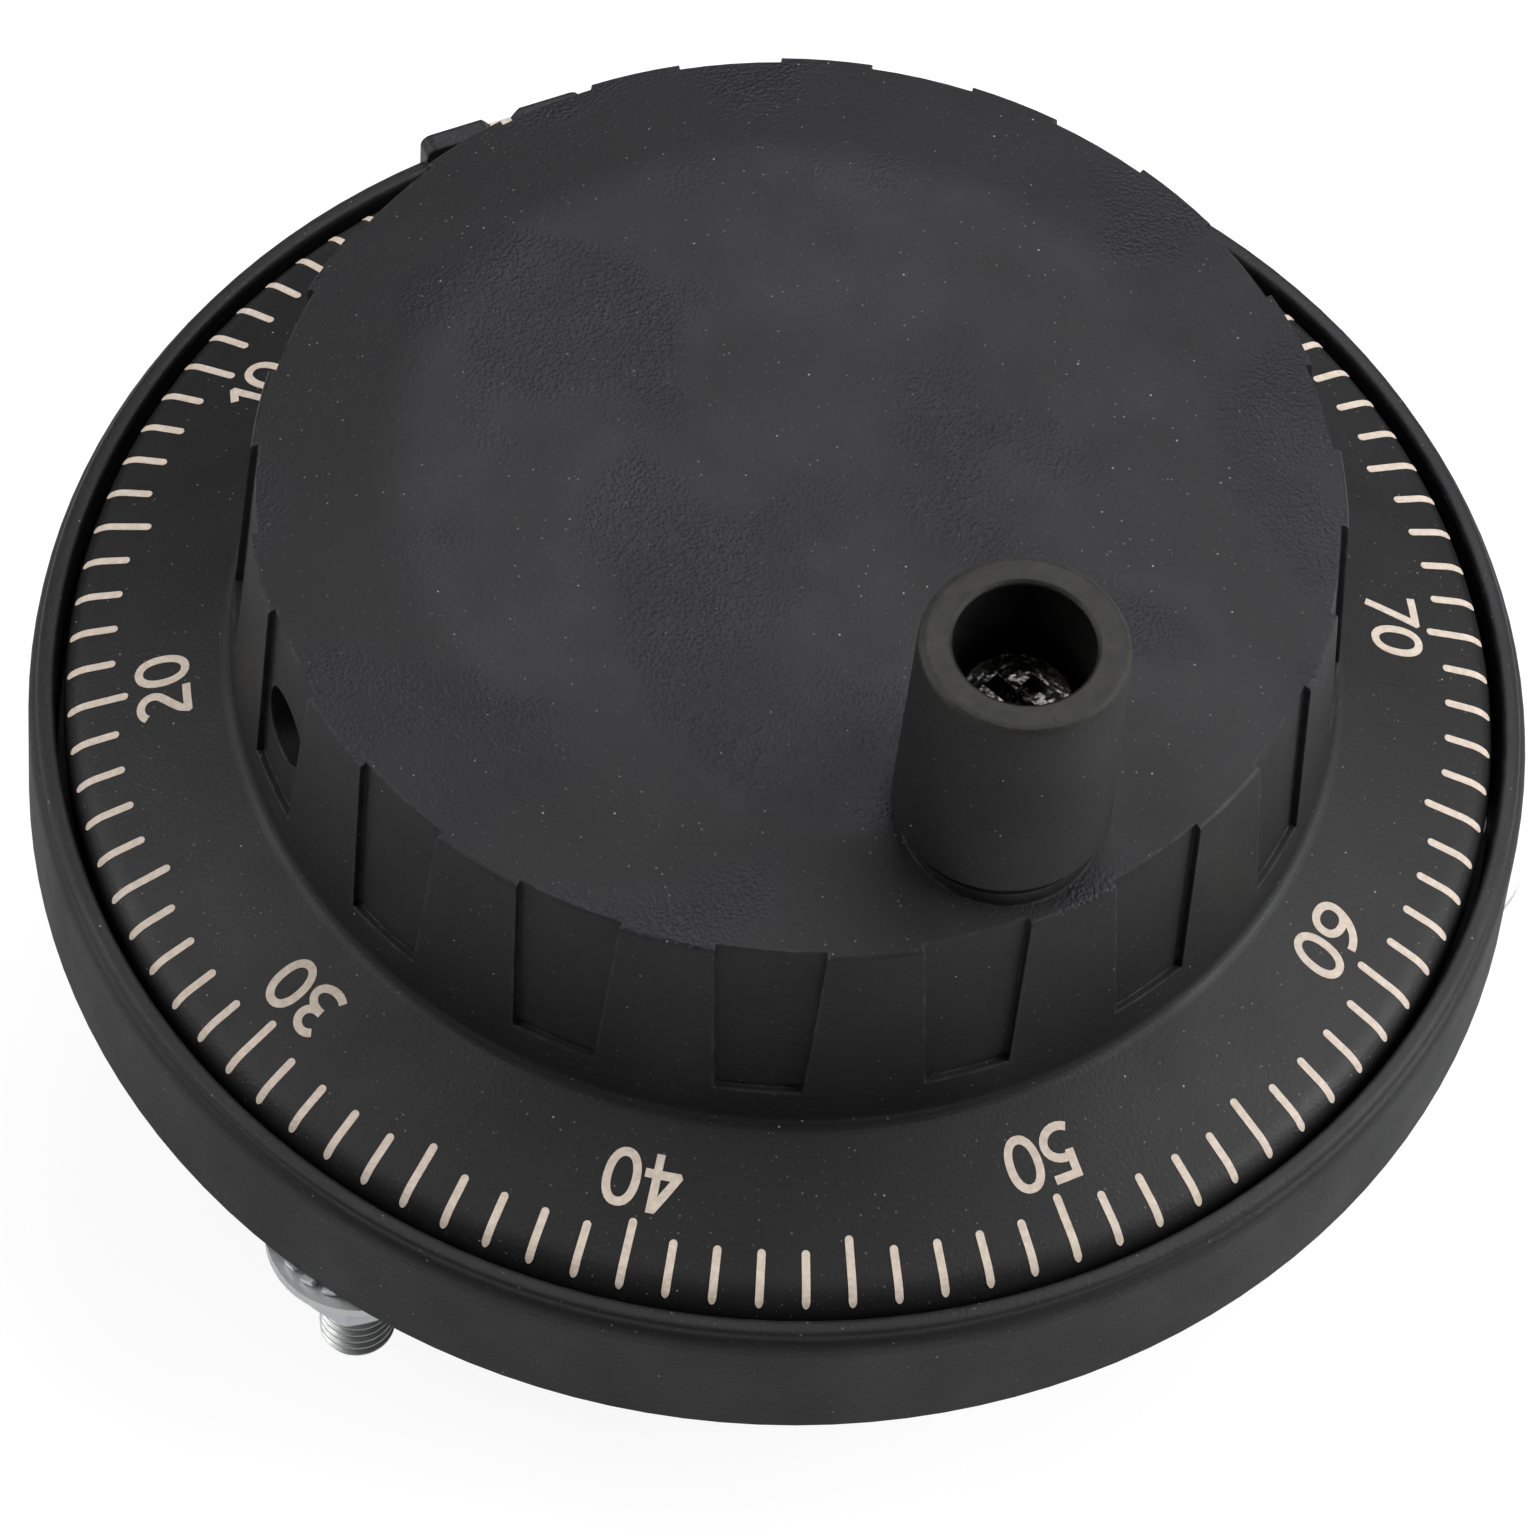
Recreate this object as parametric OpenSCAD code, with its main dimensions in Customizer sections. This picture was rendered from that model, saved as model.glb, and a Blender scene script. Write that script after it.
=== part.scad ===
// Pulse generator handwheel for a machine's control panel: a dial with 100 divisions and a
// grip knob, turned by a small revolving handle, with a magnetic click and a light encoder.
// Millimetres. The origin is the centre of the flange's back face, +Z points at the operator
// and the index notch is at +Y. Angles are counted anticlockwise from the index.

/* [Flange ring] */
// Diameter of the flange where it meets the panel
flange_d = 80; // [76:0.5:90]
// Radial thickness of the ring's wall at the panel
ring_wall = 1.65; // [1.5:0.05:2.2]
// Height of the lip's crest above the panel
lip_h = 8.4; // [7.6:0.1:9]
// Thickness of the ring's floor
floor_t = 3; // [2.6:0.1:3.4]
// Lean of the ring's outer wall from foot to shoulder
ring_lean = 0.24; // [0.2:0.02:0.44]

/* [Index block] */
// Width of the index block
index_w = 9.5; // [7:0.1:14]
// Height of the index block above the lip
index_rise = 1.1; // [1:0.1:3]
// Radial thickness of the index block
index_t = 1.1; // [0.9:0.1:1.2]
// Width of the notch at its mouth
notch_w = 1.9; // [1.2:0.1:3]
// Depth of the notch
notch_depth = 0.6; // [0.4:0.1:0.9]

/* [Dial] */
// Radial gap between dial and lip
dial_gap = 0.45; // [0.3:0.05:0.8]
// Height of the dial's vertical edge above the panel
dial_edge_h = 7.15; // [6.8:0.05:7.6]
// Radius of the dial's rounded edge
dial_edge_round = 2; // [1:0.1:2.4]
// Slope of the dial's face in degrees
dial_slope = 19.5; // [10:0.5:24]
// Wall thickness of the dial
dial_t = 2; // [1.6:0.1:2.6]
// Gap between the dial's skirt and the ring's floor
skirt_gap = 2; // [1:0.1:2.4]

/* [Knob] */
// Diameter of the knob at its rim
knob_top_d = 56; // [52:0.5:57]
// Diameter of the knob at its foot
knob_base_d = 58.2; // [57.5:0.1:62]
// Height of the knob's rim above the panel
knob_h = 25.8; // [24:0.1:30]
// Diameter of the flat disc on the knob
crown_d = 41.6; // [36:0.2:42]
// Rise of the flat disc above the rim
crown_rise = 1.05; // [0.4:0.05:1.4]
// Wall thickness of the knob
knob_wall = 2.6; // [2:0.1:3.2]
// Thickness of the knob's top
knob_top_t = 2.4; // [1.8:0.1:3]
// Radius of the fillet at the knob's foot
foot_fillet = 0.9; // [0.4:0.1:1.4]
// Number of grip recesses
recess_count = 17; // [12:1:20]
// Width of a grip recess at the rim
recess_top_w = 5.5; // [4:0.1:6]
// Width of a grip recess at its foot
recess_foot_w = 4.45; // [3:0.05:6]
// Length of a grip recess down from the rim
recess_len = 11.4; // [8:0.1:12]
// Depth of a grip recess
recess_depth = 0.42; // [0.2:0.02:0.8]
// Number of ribs under the knob's top
knob_ribs = 6; // [3:1:9]
// Thickness of a rib
rib_t = 1.4; // [0.8:0.1:2]

/* [Hub] */
// Diameter of the hub boss inside the knob
hub_boss_d = 16; // [14:0.5:18]
// Diameter of the brass hub insert
hub_insert_d = 11; // [10:0.1:12]
// Diameter of the hub screw
hub_screw_d = 4; // [3:0.5:4]
// Length of the hub screw
hub_screw_len = 5; // [4:0.5:5]
// Height of the hub screw above the panel
hub_screw_h = 19.35; // [18.6:0.05:20]
// Angle of the hub screw from the index
hub_screw_angle = 90; // [0:1:360]
// Depth of the flat on the shaft
shaft_flat = 0.5; // [0.2:0.1:1]

/* [Handle] */
// Distance of the handle from the wheel's axis
crank_r = 21.9; // [19.5:0.1:22]
// Angle of the handle from the index
crank_angle = 183; // [0:1:360]
// Diameter of the grip at its foot
grip_foot_d = 10.9; // [10:0.1:13]
// Diameter of the grip at its top
grip_top_d = 10.2; // [9.6:0.1:13]
// Length of the grip
grip_len = 13.9; // [12:0.1:30]
// Radius of the edge at the grip's top
grip_edge = 0.4; // [0.2:0.1:0.8]
// Diameter of the grip's bore
grip_bore_d = 6.9; // [6.8:0.1:7.8]
// Depth of the handle screw's head below the grip's top
head_depth = 5; // [3:0.1:6]
// Diameter of the handle screw's head
handle_head_d = 6.4; // [6:0.1:6.5]
// Height of the handle screw's head
handle_head_h = 2.4; // [1.8:0.1:3]
// Diameter of the shoulder that the grip turns on
shoulder_d = 4.5; // [4.2:0.1:5]
// Diameter of the handle screw's thread
handle_thread_d = 4; // [3:0.5:4]
// Length of thread in the insert
handle_thread_len = 7; // [5:0.5:8]
// Thickness of the washer under the grip
grip_washer_t = 0.6; // [0.4:0.1:1]
// Height of the flat seat above the knob's crown
seat_rise = 0.15; // [0.1:0.05:0.6]

/* [Shaft and bearings] */
// Diameter of the shaft
shaft_d = 6; // [5.6:0.1:6.4]
// Outer diameter of a ball bearing
bearing_d = 15; // [14.6:0.1:16]
// Width of a ball bearing
bearing_w = 5; // [4:0.1:5.4]
// Distance between the bearings
bearing_gap = 2; // [1.5:0.1:2.5]
// Diameter of a bearing ball
ball_d = 2.5; // [2.2:0.1:2.6]
// Balls in a bearing
ball_count = 8; // [6:1:8]
// Wall round the bearings
bearing_wall = 3.2; // [2:0.1:4]

/* [Click] */
// Teeth of the click wheel
click_teeth = 100; // [60:10:120]
// Diameter of the click wheel
click_d = 30; // [28:0.5:31]
// Thickness of the click wheel
click_t = 2; // [1.5:0.1:2.4]
// Depth of a tooth
tooth_depth = 0.6; // [0.4:0.05:0.8]
// Air gap between the click wheel and a pole shoe
air_gap = 0.2; // [0.15:0.01:0.4]
// Teeth on one pole shoe
shoe_teeth = 9; // [5:2:11]
// Radial thickness of a pole shoe
shoe_w = 2.6; // [2:0.1:3]
// Radial thickness of a click magnet
magnet_w = 3; // [2:0.1:4]

/* [Encoder] */
// Slots of the code disc
slot_count = 100; // [50:10:120]
// Diameter of the code disc
disc_d = 36; // [34:0.5:37]
// Thickness of the code disc
disc_t = 0.3; // [0.2:0.05:0.5]
// Width of a slot
slot_w = 0.45; // [0.3:0.05:0.5]
// Length of a slot
slot_len = 2.5; // [1.5:0.1:3]
// Distance from the disc's edge to the slots
slot_margin = 0.9; // [0.6:0.1:1.5]
// Drop of the code disc below the click wheel
disc_drop = 3.4; // [3:0.1:4]

/* [Housing] */
// Diameter of the spigot that fills the panel's hole
spigot_d = 60; // [58:0.5:62]
// Length of the spigot
spigot_len = 9; // [7:0.1:10]
// Diameter of the housing behind the spigot
rear_d = 49; // [48:0.5:52]
// Depth of the housing behind the panel's face
rear_depth = 23; // [22.6:0.1:26]
// Wall thickness of the housing
housing_wall = 2; // [1.4:0.1:2.1]
// Thickness of the web against the flange
web_t = 1.5; // [1.2:0.1:1.8]
// Thickness of the rear cover
cover_t = 2; // [1.5:0.1:2.4]
// Set-back of the rear cover inside the housing's rim
cover_inset = 0.2; // [0:0.1:0.5]

/* [Circuit board] */
// Thickness of the circuit board
board_t = 1.6; // [1:0.1:1.8]
// Depth of the board's upper face behind the panel's face
board_depth = 11.6; // [11.4:0.1:12]
// Radial gap round the circuit board
board_gap = 0.7; // [0.3:0.1:1]

/* [Terminals] */
// Number of terminals
terminal_count = 4; // [2:1:4]
// Distance between terminals
terminal_pitch = 8; // [7.4:0.1:8.2]
// Width of the terminal block across its row
terminal_w = 8.6; // [7.6:0.1:9.4]
// Diameter of a terminal screw
terminal_screw_d = 3; // [2.5:0.5:3]
// Thickness of a barrier between terminals
barrier_t = 1.2; // [0.8:0.1:1.4]
// Room for wires on each side of the block
wire_room = 5; // [4.4:0.1:5.4]

/* [Studs] */
// Pitch circle of the studs
stud_pcd = 72; // [68:0.5:72.5]
// Number of studs
stud_count = 3; // [3:1:4]
// Diameter of a stud
stud_d = 4; // [3:0.5:4]
// Length of a stud behind the panel's face
stud_len = 11.3; // [9:0.1:20]
// Diameter of the stud's knurled head in the floor
stud_head_d = 4.6; // [4.2:0.1:4.6]
// Thickness of the stud's head
stud_head_t = 1.4; // [0.8:0.1:1.6]
// Thickness of a stud nut
nut_t = 3.2; // [2.4:0.1:4]
// Width of a stud nut across its flats
nut_af = 7; // [5.5:0.1:7]
// Diameter of a toothed washer
star_d = 8.5; // [7:0.1:8.6]
// Thickness of a toothed washer
star_t = 0.6; // [0.5:0.1:1]
// Teeth of a toothed washer
star_teeth = 20; // [10:1:24]
// Diameter of a flat washer
washer_d = 9.6; // [8:0.1:10]
// Thickness of a flat washer
washer_t = 0.7; // [0.5:0.1:1.2]

/* [Screws and fits] */
// Diameter of the screws that hold the housing to the ring
housing_screw_d = 3; // [2.5:0.5:3]
// Diameter of the screws in the rear cover and board
small_screw_d = 2; // [1.6:0.1:2.2]
// Radial clearance of running fits
run_fit = 0.03; // [0.02:0.01:0.06]
// Radial clearance between fixed pieces
seat_fit = 0.02; // [0:0.01:0.05]
// Gap between faces that run past each other
face_gap = 0.05; // [0.03:0.01:0.1]
// How far a bare thread's middle lies under its nominal radius
thread_under = 0.22; // [0.18:0.02:0.3]

/* [Hidden] */

// Facets of round surfaces
$fn = 96;

// Ring
flange_r = flange_d / 2;
lip_in_r = flange_r - ring_wall;
shoulder_r = flange_r - ring_lean;
crest_r = lip_in_r + 0.25;
bead_r = shoulder_r - 0.44;
index_r = lip_in_r + 0.17 + index_t;
index_top = lip_h + index_rise;

// Dial and knob, from the rounded edge inwards
dial_r = lip_in_r - dial_gap;
skirt_z = floor_t + skirt_gap;
edge_centre = [dial_r - dial_edge_round, dial_edge_h];
face_edge = edge_centre + dial_edge_round * [sin(dial_slope), cos(dial_slope)];
rim_r = knob_top_d / 2;
foot_r = knob_base_d / 2;
foot_z = face_z(foot_r);
wall_lean = atan((foot_r - rim_r) / (knob_h - foot_z));
fillet_centre = [foot_r, foot_z] + foot_fillet / (1 + sin(dial_slope + wall_lean))
    * [cos(wall_lean) + sin(dial_slope), sin(wall_lean) + cos(dial_slope)];
rim_round = 0.25;
crown_z = knob_h + crown_rise;
cavity_top = crown_z - knob_top_t;
recess_foot_z = knob_h - recess_len;

// Bearings, from the flange's back face forwards
shaft_r = shaft_d / 2;
bearing_r = bearing_d / 2;
pitch_r = (shaft_r + bearing_r) / 2;
ball_r = ball_d / 2;
race_step = 0.6 * ball_r;
inner_ring_r = pitch_r - race_step;
outer_ring_bore = pitch_r + race_step;
front_bearing_z = bearing_w + bearing_gap;
front_top = front_bearing_z + bearing_w;
land_r = outer_ring_bore + 0.5;
hub_r = inner_ring_r - 0.3;
seal_z = front_top + 0.15;
seal_t = 0.75;
seal_r = bearing_r + 0.8;
nose_r = bearing_r + bearing_wall;
nose_top = seal_z + seal_t + 0.1;
boss_z = nose_top + 0.5;
insert_top = cavity_top - 0.8;
shaft_top = insert_top - 0.5;

// Click wheel, code disc and board, from the flange's back face rearwards
click_top = -web_t - 0.5;
click_bottom = click_top - click_t;
disc_top = click_bottom - disc_drop;
disc_bottom = disc_top - disc_t;
clamp_t = 0.7;
circlip_top = disc_bottom - clamp_t;
circlip_t = 0.6;
circlip_d = 8.4;
groove_depth = 0.35;
shaft_bottom = circlip_top - circlip_t - 0.6;
disc_r = disc_d / 2;
track_r = disc_r - slot_margin - slot_len / 2;
click_r = click_d / 2;
shoe_in_r = click_r + air_gap;
shoe_out_r = shoe_in_r + shoe_w;
tooth_pitch = 360 / click_teeth;
shoe_half_angle = (shoe_teeth - 0.4) / 2 * tooth_pitch;
shoe_angles = [120, 240];
magnet_len = 8;

// Housing, cover and board
spigot_r = spigot_d / 2;
rear_r = rear_d / 2;
rear_in_r = rear_r - housing_wall;
cover_bottom = -rear_depth + cover_inset;
cover_top = cover_bottom + cover_t;
board_r = rear_in_r - board_gap;
board_top = -board_depth;
board_bottom = board_top - board_t;
housing_screw_r = 20;
housing_screw_angles = [60, 180, 300];
housing_boss_r = 3.2;
housing_boss_top = floor_t + 5;
cover_boss_r = small_screw_d + 0.8;
cover_screw_r = rear_in_r - cover_boss_r + 0.3;
cover_screw_angles = [45, 135, 225, 315];
cover_boss_top = board_bottom - 1.2;

// Studs: toothed washer, flat washer and nut behind the ring; the free end is drawn at the
// middle of its thread
nut_top = -star_t - washer_t;
nut_bottom = nut_top - nut_t;
star_root = stud_d / 2 + 0.3 * (star_d - stud_d);
star_tooth_w = 1.6 * PI * star_root / star_teeth;
star_tilt = asin(0.6 * star_t / star_tooth_w);
stud_end_r = stud_d / 2 - thread_under;

// Encoder's light parts
sensor_gap = 0.5;
slit_t = 0.2;
slit_bottom = disc_bottom - sensor_gap - slit_t;
light_angle = 45;
light_w = 6;
led_d = 3;
led_bottom = disc_top + sensor_gap;
arm_bottom = disc_top + 1.2;
arm_top = arm_bottom + 1.5;
bracket_in_r = disc_r + 0.6;
bracket_out_r = bracket_in_r + 2.6;

// Terminals
block_len = terminal_count * terminal_pitch + barrier_t;
block_base_t = 3;
well_wall = 1.2;
well_floor_t = 1.2;
well_top = board_bottom - 1.6;
well_z = well_top - well_floor_t;
well_len = block_len + 0.4;
well_w = terminal_w + 2 * wire_room;
post_r = small_screw_d;
post_x = well_len / 2 + well_wall + post_r - 0.3;
post_y = rear_in_r - 3.3;
post_places = [[0, post_y], [0, -post_y], [post_x, 0], [-post_x, 0]];
plate_t = 0.8;
plate_w = terminal_pitch - barrier_t - 0.4;
plate_len = terminal_w - 0.6;
plate_z = well_z - block_base_t;
clamp_z = plate_z - plate_t;
wire_clamp_t = 0.8;
terminal_head_z = clamp_z - wire_clamp_t;
terminal_head_t = 1.6;
terminal_head_d = 5.4;
barrier_end = terminal_head_z - terminal_head_t - 0.1;
pin_w = 1;
pin_t = 0.6;
pin_y = 3;
terminal_xs = [for (i = [0:terminal_count - 1]) (i - (terminal_count - 1) / 2) * terminal_pitch];

// Handle, from the knob's crown upwards
seat_z = crown_z + seat_rise;
seat_r = grip_foot_d / 2 - 0.4;
grip_z = seat_z + grip_washer_t + face_gap;
grip_top = grip_z + grip_len;
head_top = grip_top - head_depth;
head_z = head_top - handle_head_h;
shoulder_r2 = shoulder_d / 2;
handle_insert_r = 3.1;
handle_insert_len = handle_thread_len + 1.2;
crank_boss_r = handle_insert_r + 2.1;

// Height of the dial's face at radius r
function face_z(r) = face_edge[1] + (face_edge[0] - r) * tan(dial_slope);

// Radius of the knob's wall at height z
function knob_r(z) = rim_r + (foot_r - rim_r) * (knob_h - z) / (knob_h - foot_z);

// Points of an arc
function arc(centre, r, from, to, n) =
    [for (i = [0:n]) let (a = from + (to - from) * i / n) centre + r * [cos(a), sin(a)]];

// Puts children at angle a from the index, at radius r
module at(a, r = 0) {
    rotate([0, 0, a]) translate([0, r, 0]) children();
}

// A tube that runs from z0 up to z1
module tube(r_out, r_in, z0, z1) {
    translate([0, 0, z0]) difference() {
        cylinder(h = z1 - z0, r = r_out);
        translate([0, 0, -1]) cylinder(h = z1 - z0 + 2, r = r_in);
    }
}

// A rod that runs from z0 up to z1
module rod(r, z0, z1) {
    translate([0, 0, z0]) cylinder(h = z1 - z0, r = r);
}

// ---- Flange ring and housing ----

// Half section of the ring: wall, lip as a flat bead above a small step, floor and the nose
// that carries the bearings
module ring_section() {
    polygon([
        [land_r, 0], [flange_r, 0],
        [shoulder_r, lip_h - 1.5], [shoulder_r - 0.08, lip_h - 1.02],
        [shoulder_r - 0.2, lip_h - 0.78], [shoulder_r - 0.34, lip_h - 0.66],
        [bead_r, lip_h - 0.55], [bead_r, lip_h - 0.3],
        [bead_r - 0.08, lip_h - 0.13], [bead_r - 0.22, lip_h - 0.04], [crest_r, lip_h],
        [lip_in_r + 0.12, lip_h - 0.05], [lip_in_r, lip_h - 0.3],
        [lip_in_r, floor_t], [nose_r + 0.8, floor_t], [nose_r, floor_t + 0.8],
        [nose_r, nose_top - 0.4], [nose_r - 0.4, nose_top],
        [seal_r + seat_fit, nose_top], [seal_r + seat_fit, seal_z],
        [bearing_r + seat_fit, seal_z], [bearing_r + seat_fit, front_bearing_z],
        [land_r, front_bearing_z]]);
}

// Outline of the index block, seen from the axis, with its notch
module index_outline() {
    corner = 0.6;
    half = index_w / 2;
    foot = lip_h - 3;
    mouth = notch_w / 2;
    bottom = 0.35 * notch_w;
    polygon(concat(
        [[-half, foot], [half, foot]],
        arc([half - corner, index_top - corner], corner, 0, 90, 4),
        [[mouth + 0.2, index_top], [mouth, index_top - 0.2], [bottom, index_top - notch_depth],
            [-bottom, index_top - notch_depth], [-mouth, index_top - 0.2], [-mouth - 0.2, index_top]],
        arc([corner - half, index_top - corner], corner, 90, 180, 4)));
}

module bezel_ring() color("#232426") difference() {
    union() {
        rotate_extrude() ring_section();
        translate([0, index_r, 0]) rotate([90, 0, 0]) linear_extrude(index_t) index_outline();
        for (a = housing_screw_angles)
            at(a, housing_screw_r) rod(housing_boss_r, floor_t - 1, housing_boss_top);
    }
    rod(bearing_r + seat_fit, -1, bearing_w);
    for (i = [0:stud_count - 1]) at(i * 360 / stud_count, stud_pcd / 2) {
        rod(stud_d / 2 + seat_fit, -1, floor_t);
        rod(stud_head_d / 2 + seat_fit, floor_t - stud_head_t, floor_t + 1);
    }
    for (a = housing_screw_angles)
        at(a, housing_screw_r) rod(housing_screw_d / 2 + seat_fit, -1, housing_boss_top - 1);
}

// Half section of the housing: web, spigot, step and rear skirt
module housing_section() {
    polygon([
        [land_r, 0], [spigot_r, 0], [spigot_r, 1 - spigot_len], [spigot_r - 1, -spigot_len],
        [rear_r + 0.8, -spigot_len], [rear_r, -spigot_len - 0.8],
        [rear_r, 0.5 - rear_depth], [rear_r - 0.5, -rear_depth], [rear_in_r, -rear_depth],
        [rear_in_r, housing_wall - spigot_len], [spigot_r - housing_wall, housing_wall - spigot_len],
        [spigot_r - housing_wall, -web_t], [land_r, -web_t]]);
}

// Walls that hold one pole shoe and its magnet under the web
module shoe_cradle() {
    wall = 1;
    back_r = shoe_out_r + magnet_w;
    for (s = [-1, 1]) translate([s * (magnet_len + wall) / 2 - wall / 2, shoe_out_r, click_bottom + 0.5])
        cube([wall, magnet_w + wall, -web_t + 0.5 - click_bottom]);
    translate([-magnet_len / 2 - wall, back_r, click_bottom + 0.5])
        cube([magnet_len + 2 * wall, wall, -web_t + 0.5 - click_bottom]);
}

module rear_housing() color("#2a2b2d") difference() {
    union() {
        rotate_extrude() housing_section();
        for (a = cover_screw_angles) at(a, cover_screw_r) rod(cover_boss_r, cover_top, cover_boss_top);
        for (a = shoe_angles) at(a) shoe_cradle();
    }
    for (a = housing_screw_angles) at(a, housing_screw_r) rod(housing_screw_d / 2 + 0.1, -web_t - 1, 1);
    for (a = cover_screw_angles)
        at(a, cover_screw_r) rod(small_screw_d / 2 + seat_fit, cover_top - 1, cover_boss_top - 1);
}

module rear_cover() color("#303134") difference() {
    union() {
        rod(rear_in_r - 0.1, cover_bottom, cover_top);
        translate([-well_len / 2 - well_wall, -well_w / 2 - well_wall, cover_bottom])
            cube([well_len + 2 * well_wall, well_w + 2 * well_wall, well_top - cover_bottom]);
        for (p = post_places) translate(p) rod(post_r, cover_bottom + 0.5, board_bottom);
    }
    translate([-well_len / 2, -well_w / 2, cover_bottom - 1])
        cube([well_len, well_w, well_z - cover_bottom + 1]);
    for (a = cover_screw_angles) at(a, cover_screw_r) {
        rod(small_screw_d / 2 + 0.1, cover_bottom - 1, cover_top + 1);
        rod(small_screw_d, cover_bottom - 1, cover_bottom + 0.9);
    }
    for (p = post_places) translate(p) rod(small_screw_d / 2 + seat_fit, cover_top + 1, board_bottom + 1);
    for (x = terminal_xs) translate([x - pin_w / 2 - 0.1, pin_y - pin_t / 2 - 0.1, well_z - 1])
        cube([pin_w + 0.2, pin_t + 0.2, well_floor_t + 2]);
}

// ---- Screws, studs and washers ----

// A pan-head screw that points up: its head's underside is at z = 0
module pan_screw(d, len, head_d, head_t) {
    difference() {
        union() {
            rod(d / 2, -0.01, len);
            rotate_extrude() polygon(concat([[0, 0], [head_d / 2, 0]],
                arc([head_d / 2 - 0.6 * head_t, -0.4 * head_t], 0.6 * head_t, 0, -90, 4),
                [[0, -head_t]]));
        }
        for (a = [0, 90]) rotate([0, 0, a])
            translate([-0.3 * head_d, -0.08 * head_d, -head_t - 1]) cube([0.6 * head_d, 0.16 * head_d, 1.6]);
    }
}

module housing_screws() color("#b9bcc0") for (a = housing_screw_angles)
    at(a, housing_screw_r) translate([0, 0, -web_t])
        pan_screw(housing_screw_d, housing_boss_top + web_t - 2, 1.85 * housing_screw_d, 1.8);

module cover_screws() color("#b9bcc0") for (a = cover_screw_angles)
    at(a, cover_screw_r) translate([0, 0, cover_bottom + 0.9])
        pan_screw(small_screw_d, cover_boss_top - cover_bottom - 2.4, 1.8 * small_screw_d, 0.8);

module mounting_studs() color("#c3c6c9") for (i = [0:stud_count - 1])
    at(i * 360 / stud_count, stud_pcd / 2) {
        rotate_extrude() polygon([[0, -stud_len], [stud_end_r - 0.4, -stud_len],
            [stud_end_r, 0.4 - stud_len], [stud_end_r, nut_bottom - 0.1], [stud_d / 2, nut_bottom],
            [stud_d / 2, floor_t - stud_head_t], [0, floor_t - stud_head_t]]);
        translate([0, 0, floor_t - stud_head_t]) cylinder(h = stud_head_t, d = stud_head_d, $fn = 12);
    }

module stud_nuts() color("#c3c6c9") for (i = [0:stud_count - 1])
    at(i * 360 / stud_count, stud_pcd / 2) translate([0, 0, nut_bottom]) difference() {
        intersection() {
            cylinder(h = nut_t, r = nut_af / 2 / cos(30), $fn = 6);
            rotate_extrude() polygon([[0, 0], [0.48 * nut_af, 0], [0.6 * nut_af, 0.12 * nut_af],
                [0.6 * nut_af, nut_t - 0.12 * nut_af], [0.48 * nut_af, nut_t], [0, nut_t]]);
        }
        rod(stud_d / 2 + seat_fit, -1, nut_t + 1);
    }

// A toothed lock washer, its teeth twisted out of the flat
module star_washer() {
    tube(star_root, stud_d / 2 + 0.1, 0.2 * star_t, 0.8 * star_t);
    for (i = [0:star_teeth - 1]) rotate([0, 0, i * 360 / star_teeth])
        translate([0, star_root - 0.2, star_t / 2]) rotate([0, star_tilt, 0])
            translate([-star_tooth_w / 2, 0, -0.2 * star_t])
                cube([star_tooth_w, star_d / 2 - star_root + 0.2, 0.4 * star_t]);
}

module star_washers() color("#b4b9bb") for (i = [0:stud_count - 1])
    at(i * 360 / stud_count, stud_pcd / 2) translate([0, 0, -star_t]) star_washer();

module flat_washers() color("#c9cccd") for (i = [0:stud_count - 1])
    at(i * 360 / stud_count, stud_pcd / 2)
        tube(washer_d / 2, stud_d / 2 + 0.15, nut_top, -star_t);

// ---- Ball bearings ----

// One ring of a bearing; its groove runs round the balls
module race(r_in, r_out, z) {
    c = 0.3;
    translate([0, 0, z]) difference() {
        rotate_extrude() polygon([[r_in + c, 0], [r_out - c, 0], [r_out, c], [r_out, bearing_w - c],
            [r_out - c, bearing_w], [r_in + c, bearing_w], [r_in, bearing_w - c], [r_in, c]]);
        translate([0, 0, bearing_w / 2]) rotate_extrude()
            translate([pitch_r, 0]) circle(r = ball_r + run_fit, $fn = 48);
    }
}

module balls(z) {
    for (i = [0:ball_count - 1]) at(i * 360 / ball_count, pitch_r)
        translate([0, 0, z + bearing_w / 2]) sphere(r = ball_r, $fn = 32);
}

module cage(z) {
    half = ball_r + 0.35;
    mid = z + bearing_w / 2;
    difference() {
        tube(outer_ring_bore - 0.2, inner_ring_r + 0.2, mid - half, mid + half);
        for (i = [0:ball_count - 1]) at(i * 360 / ball_count)
            translate([0, 0, mid]) rotate([-90, 0, 0]) cylinder(h = bearing_r, r = ball_r + run_fit);
    }
}

module front_bearing_outer_ring() color("#c8cbce") race(outer_ring_bore, bearing_r, front_bearing_z);
module rear_bearing_outer_ring() color("#c8cbce") race(outer_ring_bore, bearing_r, 0);
module front_bearing_inner_ring() color("#d0d3d6") race(shaft_r + seat_fit, inner_ring_r, front_bearing_z);
module rear_bearing_inner_ring() color("#d0d3d6") race(shaft_r + seat_fit, inner_ring_r, 0);
module front_bearing_balls() color("#e2e4e6") balls(front_bearing_z);
module rear_bearing_balls() color("#e2e4e6") balls(0);
module front_bearing_cage() color("#b08d4a") cage(front_bearing_z);
module rear_bearing_cage() color("#b08d4a") cage(0);

module bearing_spacer() color("#9ea2a5")
    tube(hub_r, shaft_r + seat_fit, bearing_w, front_bearing_z);

module shaft_seal() color("#1b1b1c") tube(seal_r, hub_r + 0.1, seal_z, seal_z + seal_t);

// ---- Magnetic click ----

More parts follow.
